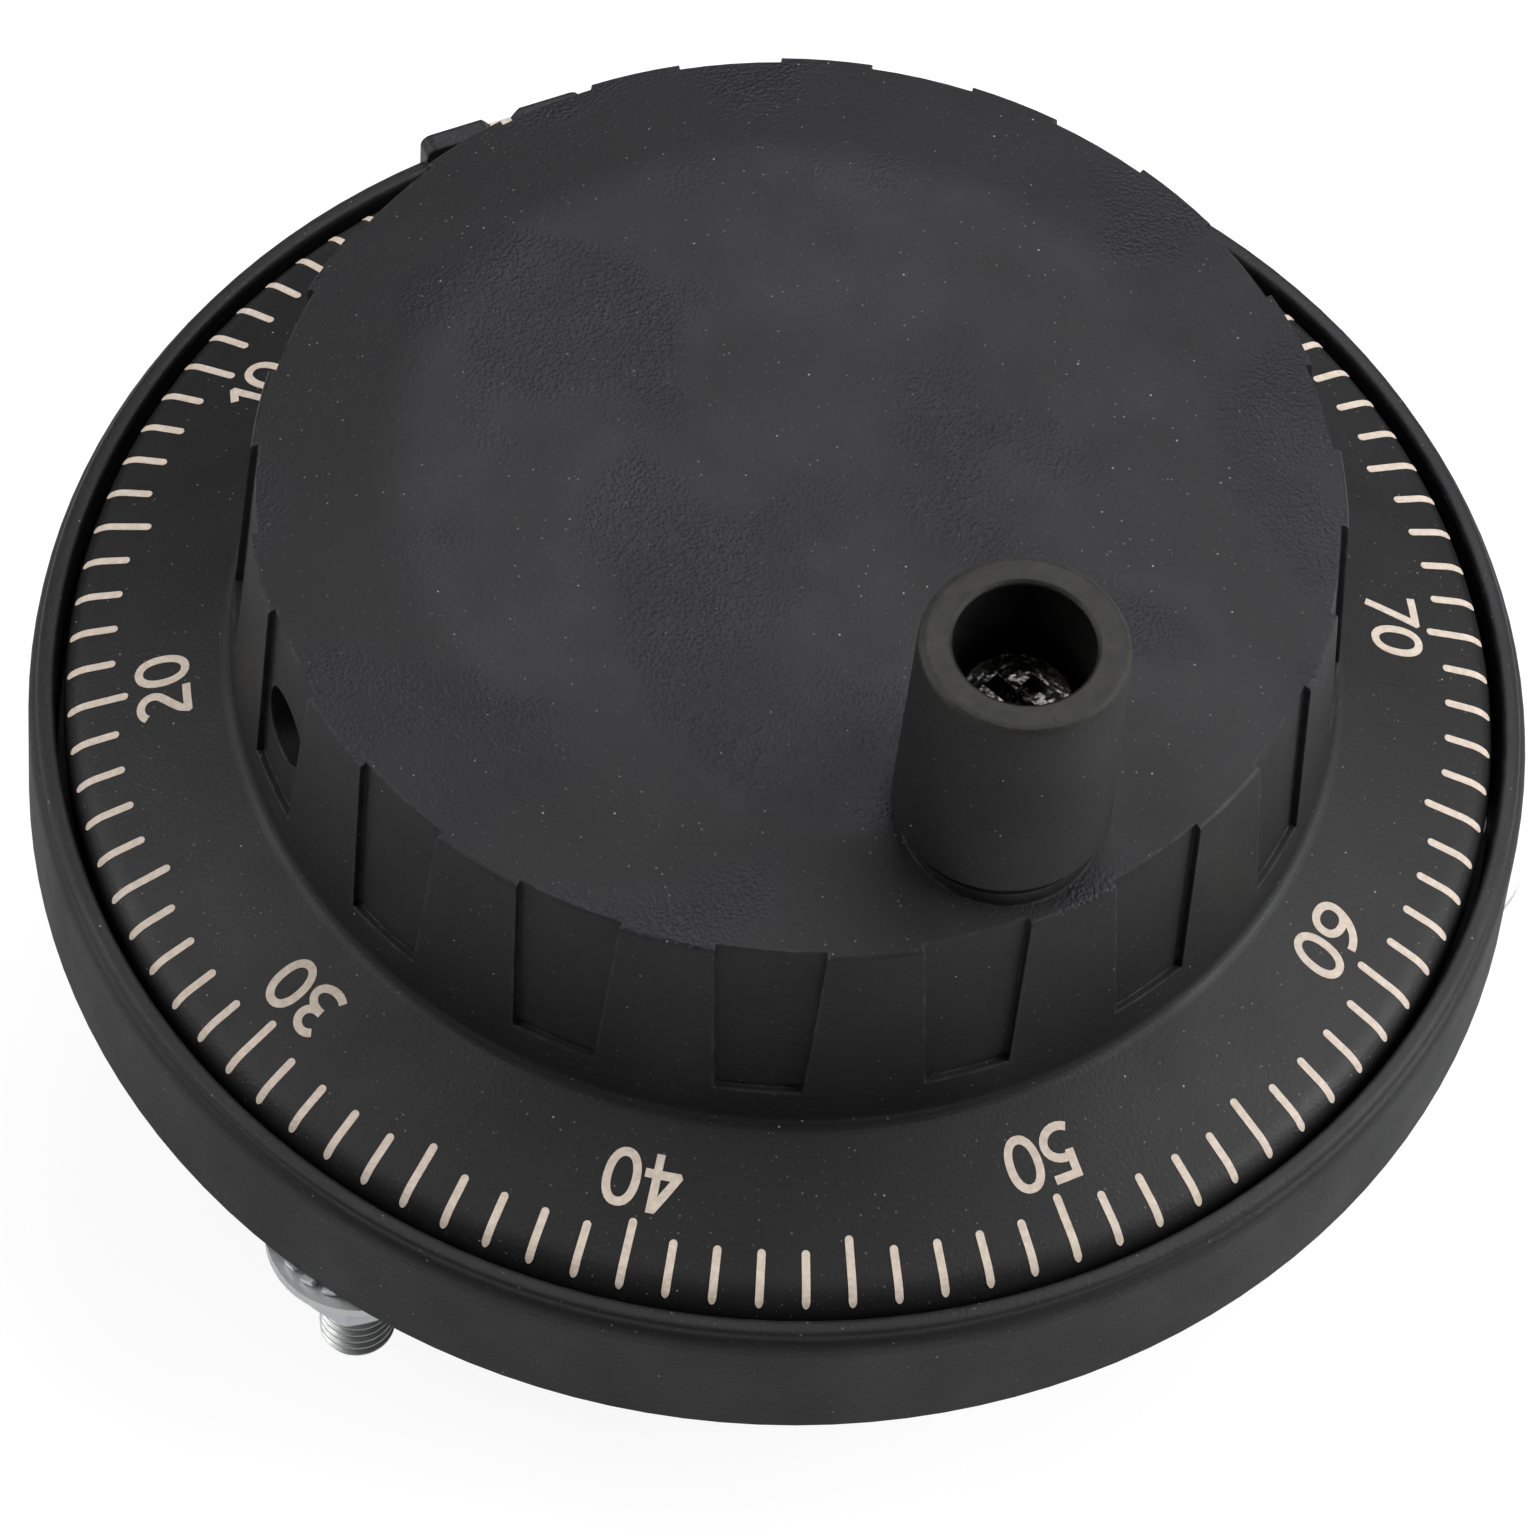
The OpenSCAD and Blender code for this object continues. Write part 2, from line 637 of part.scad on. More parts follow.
// Teeth of the click wheel, as a ring of trapezoids
module click_outline() {
    root = click_r - tooth_depth;
    tooth = [[-0.36, root], [-0.2, click_r], [0.2, click_r], [0.36, root]];
    polygon([for (i = [0:click_teeth - 1], t = tooth)
        let (a = 90 + (i + t[0]) * tooth_pitch) t[1] * [cos(a), sin(a)]]);
}

module click_wheel() color("#8f9498") difference() {
    union() {
        translate([0, 0, click_bottom]) linear_extrude(click_t) click_outline();
        rod(hub_r, click_bottom, 0);
    }
    rod(shaft_r + seat_fit, click_bottom - 1, 1);
    for (i = [0:5]) at(i * 60, 0.6 * click_r) rod(0.15 * click_r, click_bottom - 1, click_top + 1);
}

// A pole shoe: a steel sector whose inner edge has teeth of the wheel's pitch
module pole_shoe() {
    root = shoe_in_r + tooth_depth;
    tooth = [[-0.36, root], [-0.2, shoe_in_r], [0.2, shoe_in_r], [0.36, root]];
    edge = [for (i = [0:shoe_teeth - 1], t = tooth)
        let (a = 90 + (i - (shoe_teeth - 1) / 2 + t[0]) * tooth_pitch) t[1] * [cos(a), sin(a)]];
    half = shoe_out_r * sin(shoe_half_angle);
    back = [[-half, shoe_out_r - 0.8], [-half + 0.8, shoe_out_r],
        [half - 0.8, shoe_out_r], [half, shoe_out_r - 0.8]];
    translate([0, 0, click_bottom]) linear_extrude(-web_t - click_bottom) polygon(concat(edge, back));
}

module pole_shoes() color("#a3a7aa") for (a = shoe_angles) at(a) pole_shoe();

module click_magnets() color("#5c6064") for (a = shoe_angles) at(a)
    translate([-magnet_len / 2 + seat_fit, shoe_out_r, click_bottom])
        cube([magnet_len - 2 * seat_fit, magnet_w, -web_t - click_bottom]);

// ---- Encoder ----

module code_disc() color("#54585c") translate([0, 0, disc_bottom]) linear_extrude(disc_t) difference() {
    circle(r = disc_r);
    circle(r = shaft_r + seat_fit);
    for (i = [0:slot_count - 1]) rotate(i * 360 / slot_count)
        translate([-slot_w / 2, track_r - slot_len / 2]) square([slot_w, slot_len]);
}

module code_disc_hub() color("#b79a55") difference() {
    union() {
        rod(hub_r, disc_top, click_bottom);
        rod(2 * shaft_r, disc_top, disc_top + 1.2);
    }
    rod(shaft_r + seat_fit, disc_top - 1, click_bottom + 1);
}

module disc_clamp() color("#b79a55")
    tube(2 * shaft_r - 0.8, shaft_r + seat_fit, circlip_top, disc_bottom);

module shaft_circlip() color("#3b3d40") difference() {
    tube(circlip_d / 2, shaft_r - groove_depth + seat_fit, circlip_top - circlip_t, circlip_top);
    translate([-1.2, 0, circlip_top - circlip_t - 1]) cube([2.4, circlip_d, circlip_t + 2]);
}

module emitter_bracket() color("#1f2022") difference() {
    at(light_angle) union() {
        translate([-light_w / 2, bracket_in_r, board_top])
            cube([light_w, bracket_out_r - bracket_in_r, arm_top - board_top]);
        translate([-light_w / 2, track_r - 2.4, arm_bottom])
            cube([light_w, bracket_out_r - track_r + 2.4, arm_top - arm_bottom]);
    }
    at(light_angle, track_r) rod(led_d / 2 + seat_fit, arm_bottom - 1, arm_top + 1);
}

module light_emitter() color("#3d4a66") at(light_angle, track_r) union() {
    rod(led_d / 2, led_bottom + 0.5, arm_top + 0.2);
    translate([0, 0, led_bottom]) cylinder(h = 0.5, r1 = 0.6 * led_d / 2, r2 = led_d / 2);
}

module light_receiver() color("#26282a") at(light_angle)
    translate([-light_w / 2, track_r - 2, board_top]) cube([light_w, 4, slit_bottom - board_top]);

module slit_plate() color("#9fb4b8") at(light_angle) difference() {
    translate([-light_w / 2 + 0.5, track_r - 1.6, slit_bottom]) cube([light_w - 1, 3.2, slit_t]);
    for (i = [-2:2]) translate([i * 0.9 - slot_w / 2, track_r - 1, slit_bottom - 1])
        cube([slot_w, 2, slit_t + 2]);
}

module circuit_board() color("#2f6b3f") difference() {
    rod(board_r, board_bottom, board_top);
    for (p = post_places) translate(p) rod(small_screw_d / 2 + 0.1, board_bottom - 1, board_top + 1);
    for (x = terminal_xs) translate([x - pin_w / 2 - 0.1, pin_y - pin_t / 2 - 0.1, board_bottom - 1])
        cube([pin_w + 0.2, pin_t + 0.2, board_t + 2]);
}

module board_screws() color("#b9bcc0") for (p = post_places) translate([p[0], p[1], board_top])
    rotate([180, 0, 0]) pan_screw(small_screw_d, board_t + 3.5, 1.8 * small_screw_d, 0.9);

module board_components() color("#1e1f21") {
    for (s = [-1, 1]) translate([s * 0.28 * board_r - 3, -0.5 * board_r, board_top]) cube([6, 4, 1.3]);
    for (i = [-2:2]) translate([-0.76 * board_r, 0.09 * board_r * i - 0.6, board_top])
        cube([2, 1.2, 0.6]);
    for (x = [0.46, 0.62]) translate([x * board_r, 0.39 * board_r, board_top])
        cylinder(h = 1.6, r = 1.1);
}

// ---- Terminals ----

module terminal_block() color("#161718") difference() {
    union() {
        translate([-block_len / 2, -terminal_w / 2, plate_z]) cube([block_len, terminal_w, block_base_t]);
        for (i = [0:terminal_count])
            translate([-block_len / 2 + i * terminal_pitch, -terminal_w / 2, barrier_end])
                cube([barrier_t, terminal_w, plate_z - barrier_end + 0.5]);
    }
    for (x = terminal_xs) {
        translate([x, 0, 0]) rod(terminal_screw_d / 2 + seat_fit, plate_z - 1, well_z - 0.6);
        translate([x - pin_w / 2 - 0.1, pin_y - pin_t / 2 - 0.1, plate_z - 1])
            cube([pin_w + 0.2, pin_t + 0.2, block_base_t + 2]);
    }
}

module terminal_plates() color("#c9a95c") for (x = terminal_xs) difference() {
    union() {
        translate([x - plate_w / 2, -plate_len / 2, clamp_z]) cube([plate_w, plate_len, plate_t]);
        translate([x - pin_w / 2, pin_y - pin_t / 2, clamp_z + 0.1])
            cube([pin_w, pin_t, board_top + 0.8 - clamp_z]);
    }
    translate([x, 0, 0]) rod(terminal_screw_d / 2 + seat_fit, clamp_z - 1, plate_z + 1);
}

module terminal_clamps() color("#c3c6c9") for (x = terminal_xs) difference() {
    translate([x - plate_w / 2 + 0.2, -plate_w / 2 + 0.2, terminal_head_z])
        cube([plate_w - 0.4, plate_w - 0.4, wire_clamp_t]);
    translate([x, 0, 0]) rod(terminal_screw_d / 2 + 0.1, terminal_head_z - 1, clamp_z + 1);
    for (s = [-1, 1]) translate([x + s * 0.36 * plate_w - 0.3, -plate_w / 2, clamp_z - 0.25])
        cube([0.6, plate_w, 1]);
}

module terminal_screws() color("#c3c6c9") for (x = terminal_xs) translate([x, 0, terminal_head_z])
    pan_screw(terminal_screw_d, well_z - 0.8 - terminal_head_z, terminal_head_d, terminal_head_t);

// ---- Dial wheel ----

// Half section of the dial and knob
module wheel_section() {
    inner_foot_r = foot_r - knob_wall;
    inner_drop = dial_t / cos(dial_slope);
    skirt_r = dial_r - dial_t;
    polygon(concat(
        [[0, crown_z], [0, cavity_top], [crown_d / 2, cavity_top],
            [rim_r - knob_wall, knob_h - knob_top_t - 0.2],
            [knob_r(face_z(inner_foot_r)) - knob_wall, face_z(inner_foot_r) - inner_drop],
            [skirt_r, face_z(skirt_r) - inner_drop],
            [skirt_r, skirt_z], [dial_r, skirt_z]],
        arc(edge_centre, dial_edge_round, 0, 90 - dial_slope, 6),
        arc(fillet_centre, foot_fillet, 270 - dial_slope, 180 + wall_lean, 5),
        arc([rim_r - rim_round, knob_h - rim_round], rim_round, wall_lean, 80, 2),
        [[crown_d / 2, crown_z]]));
}

// Wedge that one grip recess takes out of the knob's wall
module recess_wedge() {
    top = knob_h + 1;
    grow = (recess_top_w - recess_foot_w) / 2 / recess_len;
    half_top = recess_top_w / 2 + grow;
    half_foot = recess_foot_w / 2;
    translate([0, foot_r + 1, 0]) rotate([90, 0, 0]) linear_extrude(foot_r - rim_r + 5)
        polygon([[-half_foot, recess_foot_z], [half_foot, recess_foot_z], [half_top, top], [-half_top, top]]);
}

// All grip recesses, down to a floor that follows the wall
module grip_recesses() {
    difference() {
        for (i = [0:recess_count - 1]) at(hub_screw_angle + i * 360 / recess_count) recess_wedge();
        rotate_extrude() polygon([[0, foot_z], [knob_r(foot_z) - recess_depth, foot_z],
            [knob_r(knob_h + 2) - recess_depth, knob_h + 2], [0, knob_h + 2]]);
    }
}

module dial_wheel() color("#202123") difference() {
    union() {
        rotate_extrude() wheel_section();
        rod(hub_boss_d / 2, boss_z, cavity_top + 0.5);
        at(crank_angle, crank_r) {
            rod(crank_boss_r, seat_z - handle_insert_len - 1, cavity_top);
            rod(seat_r, cavity_top, seat_z);
        }
        for (i = [0:knob_ribs - 1]) at(hub_screw_angle + (i + 0.5) * 360 / knob_ribs)
            translate([-rib_t / 2, hub_boss_d / 2 - 1, cavity_top - 3])
                cube([rib_t, rim_r - knob_wall - hub_boss_d / 2 + 1.5, 3.2]);
    }
    grip_recesses();
    rod(hub_insert_d / 2 + seat_fit, boss_z - 1, insert_top);
    at(hub_screw_angle) translate([0, 0, hub_screw_h]) rotate([-90, 0, 0]) {
        cylinder(h = hub_boss_d, d = hub_screw_d + 2 * seat_fit);
        translate([0, 0, hub_boss_d]) cylinder(h = foot_r, d = hub_screw_d + 0.3);
    }
    at(crank_angle, crank_r) rod(handle_insert_r + seat_fit, seat_z - handle_insert_len, seat_z + 1);
}

module hub_insert() color("#b79a55") difference() {
    union() {
        rod(hub_insert_d / 2, boss_z, insert_top);
        rod(hub_r, front_top, boss_z);
    }
    rod(shaft_r + seat_fit, front_top - 1, insert_top + 1);
    at(hub_screw_angle) translate([0, 0, hub_screw_h]) rotate([-90, 0, 0])
        cylinder(h = hub_insert_d, d = hub_screw_d + 2 * seat_fit);
}

module hub_screw() color("#2b2c2e") at(hub_screw_angle) translate([0, shaft_r - shaft_flat, hub_screw_h])
    rotate([-90, 0, 0]) difference() {
        cylinder(h = hub_screw_len, d = hub_screw_d);
        translate([0, 0, hub_screw_len - 2]) cylinder(h = 3, r = 1 / cos(30), $fn = 6);
    }

module shaft() color("#b5b9bc") difference() {
    rotate_extrude() polygon([
        [0, shaft_bottom], [shaft_r - 0.4, shaft_bottom], [shaft_r, shaft_bottom + 0.4],
        [shaft_r, circlip_top - circlip_t], [shaft_r - groove_depth, circlip_top - circlip_t],
        [shaft_r - groove_depth, circlip_top], [shaft_r, circlip_top],
        [shaft_r, shaft_top - 0.5], [shaft_r - 0.5, shaft_top], [0, shaft_top]]);
    at(hub_screw_angle) translate([-shaft_r, shaft_r - shaft_flat, hub_screw_h - hub_screw_d])
        cube([2 * shaft_r, 2 * shaft_r, 4 * hub_screw_d]);
}

// ---- Handle ----

module handle_insert() color("#b79a55") at(crank_angle, crank_r) difference() {
    rod(handle_insert_r, seat_z - handle_insert_len, seat_z);
    rod(handle_thread_d / 2 + seat_fit, seat_z - handle_thread_len - 0.4, seat_z + 1);
}

module handle_screw() color("#3a3b3d") at(crank_angle, crank_r) difference() {
    union() {
        rod(handle_thread_d / 2, seat_z - handle_thread_len, seat_z);
        rod(shoulder_r2, seat_z, head_z);
        rotate_extrude() polygon([[0, head_z], [handle_head_d / 2, head_z],
            [handle_head_d / 2, head_top - 0.5], [handle_head_d / 2 - 0.5, head_top], [0, head_top]]);
    }
    for (a = [0, 90]) rotate([0, 0, a + 20])
        translate([-1.7, -0.45, head_top - 1.3]) cube([3.4, 0.9, 2]);
}

module grip_washer() color("#1d1e1f") at(crank_angle, crank_r)
    tube(seat_r, shoulder_r2 + 0.1, seat_z, seat_z + grip_washer_t);

module handle_grip() color("#2a2a2b") at(crank_angle, crank_r) rotate_extrude() polygon(concat(
    [[shoulder_r2 + run_fit, grip_z], [grip_foot_d / 2 - 0.3, grip_z], [grip_foot_d / 2, grip_z + 0.3]],
    arc([grip_top_d / 2 - grip_edge, grip_top - grip_edge], grip_edge, 0, 90, 3),
    [[grip_bore_d / 2 + 0.2, grip_top], [grip_bore_d / 2, grip_top - 0.2],
        [grip_bore_d / 2, head_z - face_gap], [shoulder_r2 + run_fit, head_z - face_gap]]));

bezel_ring();
rear_housing();
rear_cover();
housing_screws();
cover_screws();
mounting_studs();
stud_nuts();
star_washers();
flat_washers();
front_bearing_outer_ring();
rear_bearing_outer_ring();
shaft_seal();
pole_shoes();
click_magnets();
circuit_board();
board_screws();
board_components();
emitter_bracket();
light_emitter();
light_receiver();
slit_plate();
terminal_block();
terminal_plates();
terminal_clamps();
terminal_screws();
dial_wheel();
hub_insert();
hub_screw();
shaft();
front_bearing_inner_ring();
rear_bearing_inner_ring();
bearing_spacer();
click_wheel();
code_disc_hub();
code_disc();
disc_clamp();
shaft_circlip();
handle_insert();
handle_screw();
grip_washer();
front_bearing_balls();
front_bearing_cage();
rear_bearing_balls();
rear_bearing_cage();
handle_grip();
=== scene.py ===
"""Looks of the pulse generator handwheel: materials, printed scale, threads, light and camera.

The scene is in metres, in the frame of the CAD part: the origin is on the dial's axis at the
flange's back face, +Z points at the operator and +Y at the index notch. Threads, scale and index
mark are worked out in millimetres.
"""
import math

import bmesh
import bpy
from mathutils import Matrix, Vector


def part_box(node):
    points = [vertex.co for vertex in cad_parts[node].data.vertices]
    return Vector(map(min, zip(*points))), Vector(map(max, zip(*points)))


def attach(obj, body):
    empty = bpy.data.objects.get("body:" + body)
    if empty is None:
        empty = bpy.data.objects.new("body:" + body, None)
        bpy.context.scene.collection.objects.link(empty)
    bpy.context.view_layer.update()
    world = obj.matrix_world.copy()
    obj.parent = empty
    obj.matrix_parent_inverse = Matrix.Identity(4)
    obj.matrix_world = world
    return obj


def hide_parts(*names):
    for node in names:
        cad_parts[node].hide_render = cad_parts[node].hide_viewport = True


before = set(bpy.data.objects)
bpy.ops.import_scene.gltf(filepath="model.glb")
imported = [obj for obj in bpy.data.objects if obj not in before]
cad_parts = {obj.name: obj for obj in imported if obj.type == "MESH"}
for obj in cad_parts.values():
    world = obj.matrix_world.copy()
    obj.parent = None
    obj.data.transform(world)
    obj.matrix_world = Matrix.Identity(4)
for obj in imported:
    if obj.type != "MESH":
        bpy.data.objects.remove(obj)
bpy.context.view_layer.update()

MM = 0.001
BEVEL_SAMPLES = 4
scene = bpy.context.scene


# ---------------------------------------------------------------- shader helpers

class Shader:
    """Builds one node material around a Principled shader."""

    def __init__(self, name, colour, roughness, metallic=0.0, **sockets):
        self.material = bpy.data.materials.new(name)
        self.material.use_nodes = True
        self.tree = self.material.node_tree
        self.bsdf = self.tree.nodes["Principled BSDF"]
        self.set(self.bsdf, "Base Color", (*colour, 1.0))
        self.set(self.bsdf, "Roughness", roughness)
        self.set(self.bsdf, "Metallic", metallic)
        for socket, value in sockets.items():
            self.set(self.bsdf, socket.replace("_", " "), value)
        self.place = self.add("ShaderNodeTexCoord").outputs["Object"]
        self.normal = None

    def add(self, kind, **values):
        node = self.tree.nodes.new(kind)
        for name, value in values.items():
            setattr(node, name, value)
        return node

    @staticmethod
    def set(node, socket, value):
        node.inputs[socket].default_value = value

    def link(self, output, socket):
        self.tree.links.new(output, socket)

    def noise(self, size, detail=2.0, roughness=0.5, stretch=None):
        """Noise whose features are about `size` metres across."""
        node = self.add("ShaderNodeTexNoise")
        self.set(node, "Scale", 1.0 / size)
        self.set(node, "Detail", detail)
        self.set(node, "Roughness", roughness)
        place = self.place
        if stretch:
            mapping = self.add("ShaderNodeMapping")
            self.set(mapping, "Scale", stretch)
            self.link(place, mapping.inputs["Vector"])
            place = mapping.outputs["Vector"]
        self.link(place, node.inputs["Vector"])
        return node.outputs["Fac"]

    def cells(self, size, feature="F1"):
        node = self.add("ShaderNodeTexVoronoi", feature=feature)
        self.set(node, "Scale", 1.0 / size)
        self.link(self.place, node.inputs["Vector"])
        return node.outputs

    def ramp(self, value, low, high, out_low=0.0, out_high=1.0):
        node = self.add("ShaderNodeMapRange", clamp=True)
        self.link(value, node.inputs["Value"])
        for socket, number in (("From Min", low), ("From Max", high),
                               ("To Min", out_low), ("To Max", out_high)):
            self.set(node, socket, number)
        return node.outputs["Result"]

    def math(self, operation, first, second):
        node = self.add("ShaderNodeMath", operation=operation)
        for i, value in enumerate((first, second)):
            if isinstance(value, (int, float)):
                node.inputs[i].default_value = value
            else:
                self.link(value, node.inputs[i])
        return node.outputs["Value"]

    def mix(self, factor, first, second):
        node = self.add("ShaderNodeMix", data_type="RGBA")
        self.link(factor, node.inputs["Factor"])
        for i, colour in ((6, first), (7, second)):
            if isinstance(colour, tuple):
                node.inputs[i].default_value = (*colour, 1.0)
            else:
                self.link(colour, node.inputs[i])
        return node.outputs[2]

    def colour(self, output):
        self.link(output, self.bsdf.inputs["Base Color"])

    def roughness(self, output):
        self.link(output, self.bsdf.inputs["Roughness"])

    def edge_mask(self, radius):
        """1 on sharp edges, 0 on faces away from them."""
        bevel = self.add("ShaderNodeBevel", samples=BEVEL_SAMPLES)
        self.set(bevel, "Radius", radius)
        dot = self.add("ShaderNodeVectorMath", operation="DOT_PRODUCT")
        self.link(bevel.outputs["Normal"], dot.inputs[0])
        self.link(self.add("ShaderNodeNewGeometry").outputs["Normal"], dot.inputs[1])
        return self.ramp(dot.outputs["Value"], 0.86, 0.995, 1, 0)

    def round_edges(self, radius):
        node = self.add("ShaderNodeBevel", samples=BEVEL_SAMPLES)
        self.set(node, "Radius", radius)
        self.bevel = node
        self.normal = node.outputs["Normal"]
        self.link(self.normal, self.bsdf.inputs["Normal"])

    def bump(self, height, depth, strength=1.0):
        node = self.add("ShaderNodeBump")
        self.set(node, "Strength", strength)
        self.set(node, "Distance", depth)
        self.link(height, node.inputs["Height"])
        if self.normal:
            self.link(self.normal, node.inputs["Normal"])
        self.normal = node.outputs["Normal"]
        self.link(self.normal, self.bsdf.inputs["Normal"])

    def distance_from_axis(self, centre):
        """Distance from the line parallel to Z through a point."""
        shift = self.add("ShaderNodeVectorMath", operation="SUBTRACT")
        self.link(self.place, shift.inputs[0])
        shift.inputs[1].default_value = centre
        flat = self.add("ShaderNodeVectorMath", operation="MULTIPLY")
        self.link(shift.outputs["Vector"], flat.inputs[0])
        flat.inputs[1].default_value = (1, 1, 0)
        size = self.add("ShaderNodeVectorMath", operation="LENGTH")
        self.link(flat.outputs["Vector"], size.inputs[0])
        return size.outputs["Value"]

    def height_along_z(self):
        node = self.add("ShaderNodeSeparateXYZ")
        self.link(self.place, node.inputs["Vector"])
        return node.outputs["Z"]


SHEEN = 0.31                             # how strongly the plastics reflect
SCATTER = 7.31                           # turns a cell's colour into an even draw
CORNER = 0.12 * MM                       # rounding of a moulded corner
GRAIN, GRAIN_DEPTH = 0.18 * MM, 0.016 * MM
METAL_GRAIN = 0.3 * MM


def moulded(name, dark, pale, roughness, dust=0.0, wear_and_highlight=0.0, coarse_above=None):
    """Moulded black plastic: spark-eroded skin, cloudy sheen, rubbed edges lightened partly as a
    painted highlight, and specks of dust.

    Above the height `coarse_above` the skin is coarser in patches, which are tinted with a painted
    bluish sheen."""
    s = Shader(name, dark, roughness, Specular_IOR_Level=SHEEN)
    s.round_edges(CORNER)
    tone = s.mix(s.ramp(s.noise(14 * MM, 3), 0.3, 0.7), dark, pale)
    if wear_and_highlight:
        # edges are lightened: partly wear, partly a painted highlight where light catches them
        uneven = s.ramp(s.noise(1.1 * MM, 3), 0.42, 0.62)
        rubbed_and_highlit = s.math("MULTIPLY", s.edge_mask(0.3 * MM), uneven)
        tone = s.mix(s.math("MULTIPLY", rubbed_and_highlit, wear_and_highlight), tone, WORN_AND_HIGHLIT)
    if dust:
        for size, reach, share, shade in DUST:
            cell = s.cells(size * MM)
            dot = s.ramp(cell["Distance"], 0.6 * reach, reach, 1, 0)
            pick = s.ramp(s.math("FRACT", s.math("MULTIPLY", cell["Color"], SCATTER), 0),
                          share * dust, share * dust + 0.01, 1, 0)
            tone = s.mix(s.math("MULTIPLY", dot, pick), tone, shade)
    relief = s.ramp(s.noise(9 * MM, 2), 0.35, 0.62, 0.75, 1.35)
    if coarse_above:
        patch = s.math("MULTIPLY", s.ramp(s.noise(13 * MM, 3, 0.45), 0.50, 0.57),
                       s.ramp(s.height_along_z(), coarse_above, coarse_above + 0.2 * MM))
        relief = s.math("MULTIPLY", relief, s.ramp(patch, 0, 1, 0.7, 3.4))
        # the coarse patches are tinted with a painted bluish sheen
        tone = s.mix(s.math("MULTIPLY", patch, 0.5), tone, COOL_SHEEN)
    s.colour(tone)
    s.roughness(s.ramp(s.noise(5 * MM, 3), 0.3, 0.7, roughness - 0.05, roughness + 0.06))
    s.bump(s.noise(2.5 * MM, 2), 0.008 * MM, 0.5)
    s.bump(s.math("MULTIPLY", s.cells(GRAIN, "SMOOTH_F1")["Distance"], relief), GRAIN_DEPTH)
    return s, tone


def metal(name, colour, tint, roughness, streak=(1, 1, 1), metallic=1.0):
    """Metal with uneven polish and a faint tint."""
    s = Shader(name, colour, roughness, metallic)
    s.round_edges(0.06 * MM)
    s.colour(s.mix(s.ramp(s.noise(1.8 * MM, 3), 0.35, 0.65), colour, tint))
    polish = s.noise(METAL_GRAIN, 3, 0.6, streak)
    s.roughness(s.ramp(polish, 0.3, 0.7, roughness - 0.07, roughness + 0.1))
    s.bump(s.noise(METAL_GRAIN, 2, 0.5, streak), 0.004 * MM)
    return s


# ---------------------------------------------------------------- materials

WORN_AND_HIGHLIT = (0.055, 0.055, 0.053)             # plastic rubbed pale along its edges, partly a painted highlight on them
COOL_SHEEN = (0.0098, 0.0098, 0.0155)          # painted bluish sheen in the crown's patches
DUST = (                                 # cell size in mm, speck's share of it, share of cells, colour
    (0.36, 0.16, 0.42, (0.048, 0.048, 0.047)),
    (0.60, 0.11, 0.46, (0.105, 0.105, 0.10)),
    (1.10, 0.06, 0.34, (0.28, 0.28, 0.27)),
)
# Radius of the crown's flat middle, half the width of its edge, and the slope beyond it
CROWN_R, CROWN_SOFT, CROWN_SLOPE = 20.8 * MM, 1.3 * MM, 0.146

# Heights at which a look begins to change, and at which it has changed
DIAL_EDGE_Z = 9.2 * MM, 9.6 * MM
COARSE_Z = 25.5 * MM
CROWN_Z = 25.9 * MM, 26.2 * MM
STEP_Z = 6.6 * MM, 6.9 * MM
LIP_Z = 7.5 * MM, 7.8 * MM

plastic, _ = moulded("black_plastic", (0.0088, 0.0089, 0.0093), (0.0122, 0.0123, 0.0127), 0.50,
                     dust=1.0, wear_and_highlight=0.8, coarse_above=COARSE_Z)
# The dial's rounded edge is wider than a moulded corner
plastic.link(plastic.ramp(plastic.height_along_z(), *DIAL_EDGE_Z, 0.45 * MM, CORNER),
             plastic.bevel.inputs["Radius"])
# The crown's edge is soft: its slope changes over a little over a millimetre on each side
off_edge = plastic.math("SUBTRACT", plastic.distance_from_axis(Vector((0, 0, 0))), CROWN_R)
reach = plastic.math("SUBTRACT", CROWN_SOFT, plastic.math("ABSOLUTE", off_edge, 0))
reach = plastic.math("MAXIMUM", reach, 0.0)
hollow = plastic.math("MULTIPLY", plastic.math("MULTIPLY", reach, reach),
                      -CROWN_SLOPE / (4 * CROWN_SOFT))
on_top = plastic.ramp(plastic.height_along_z(), *CROWN_Z)
plastic.bump(plastic.math("MULTIPLY", hollow, on_top), 1.0)

ring_plastic, _ = moulded("ring_plastic", (0.0092, 0.0093, 0.0094), (0.0125, 0.0125, 0.0125), 0.55,
                          dust=0.7, wear_and_highlight=0.25)
# The ring's lip is smoother than its side, and its step is softly rounded
ring_plastic.link(ring_plastic.ramp(ring_plastic.height_along_z(), *STEP_Z, CORNER, 0.3 * MM),
                  ring_plastic.bevel.inputs["Radius"])
ring_plastic.roughness(ring_plastic.math(
    "MULTIPLY", ring_plastic.ramp(ring_plastic.noise(5 * MM, 3), 0.3, 0.7, 0.50, 0.61),
    ring_plastic.ramp(ring_plastic.height_along_z(), *LIP_Z, 1.0, 0.78)))
housing_plastic, _ = moulded("housing_plastic", (0.012, 0.012, 0.013), (0.017, 0.017, 0.018), 0.6,
                             dust=0.3)
block_plastic, _ = moulded("terminal_plastic", (0.010, 0.010, 0.010), (0.015, 0.015, 0.015), 0.4)
# A black nylon washer, made darker than the other plastics as painted shade in the gap under the
# handle
shaded_washer_plastic, _ = moulded("shaded_washer_plastic", (0.003, 0.003, 0.003), (0.005, 0.005, 0.005), 0.7)
shaded_washer_plastic.set(shaded_washer_plastic.bsdf, "Specular IOR Level", 0.1)
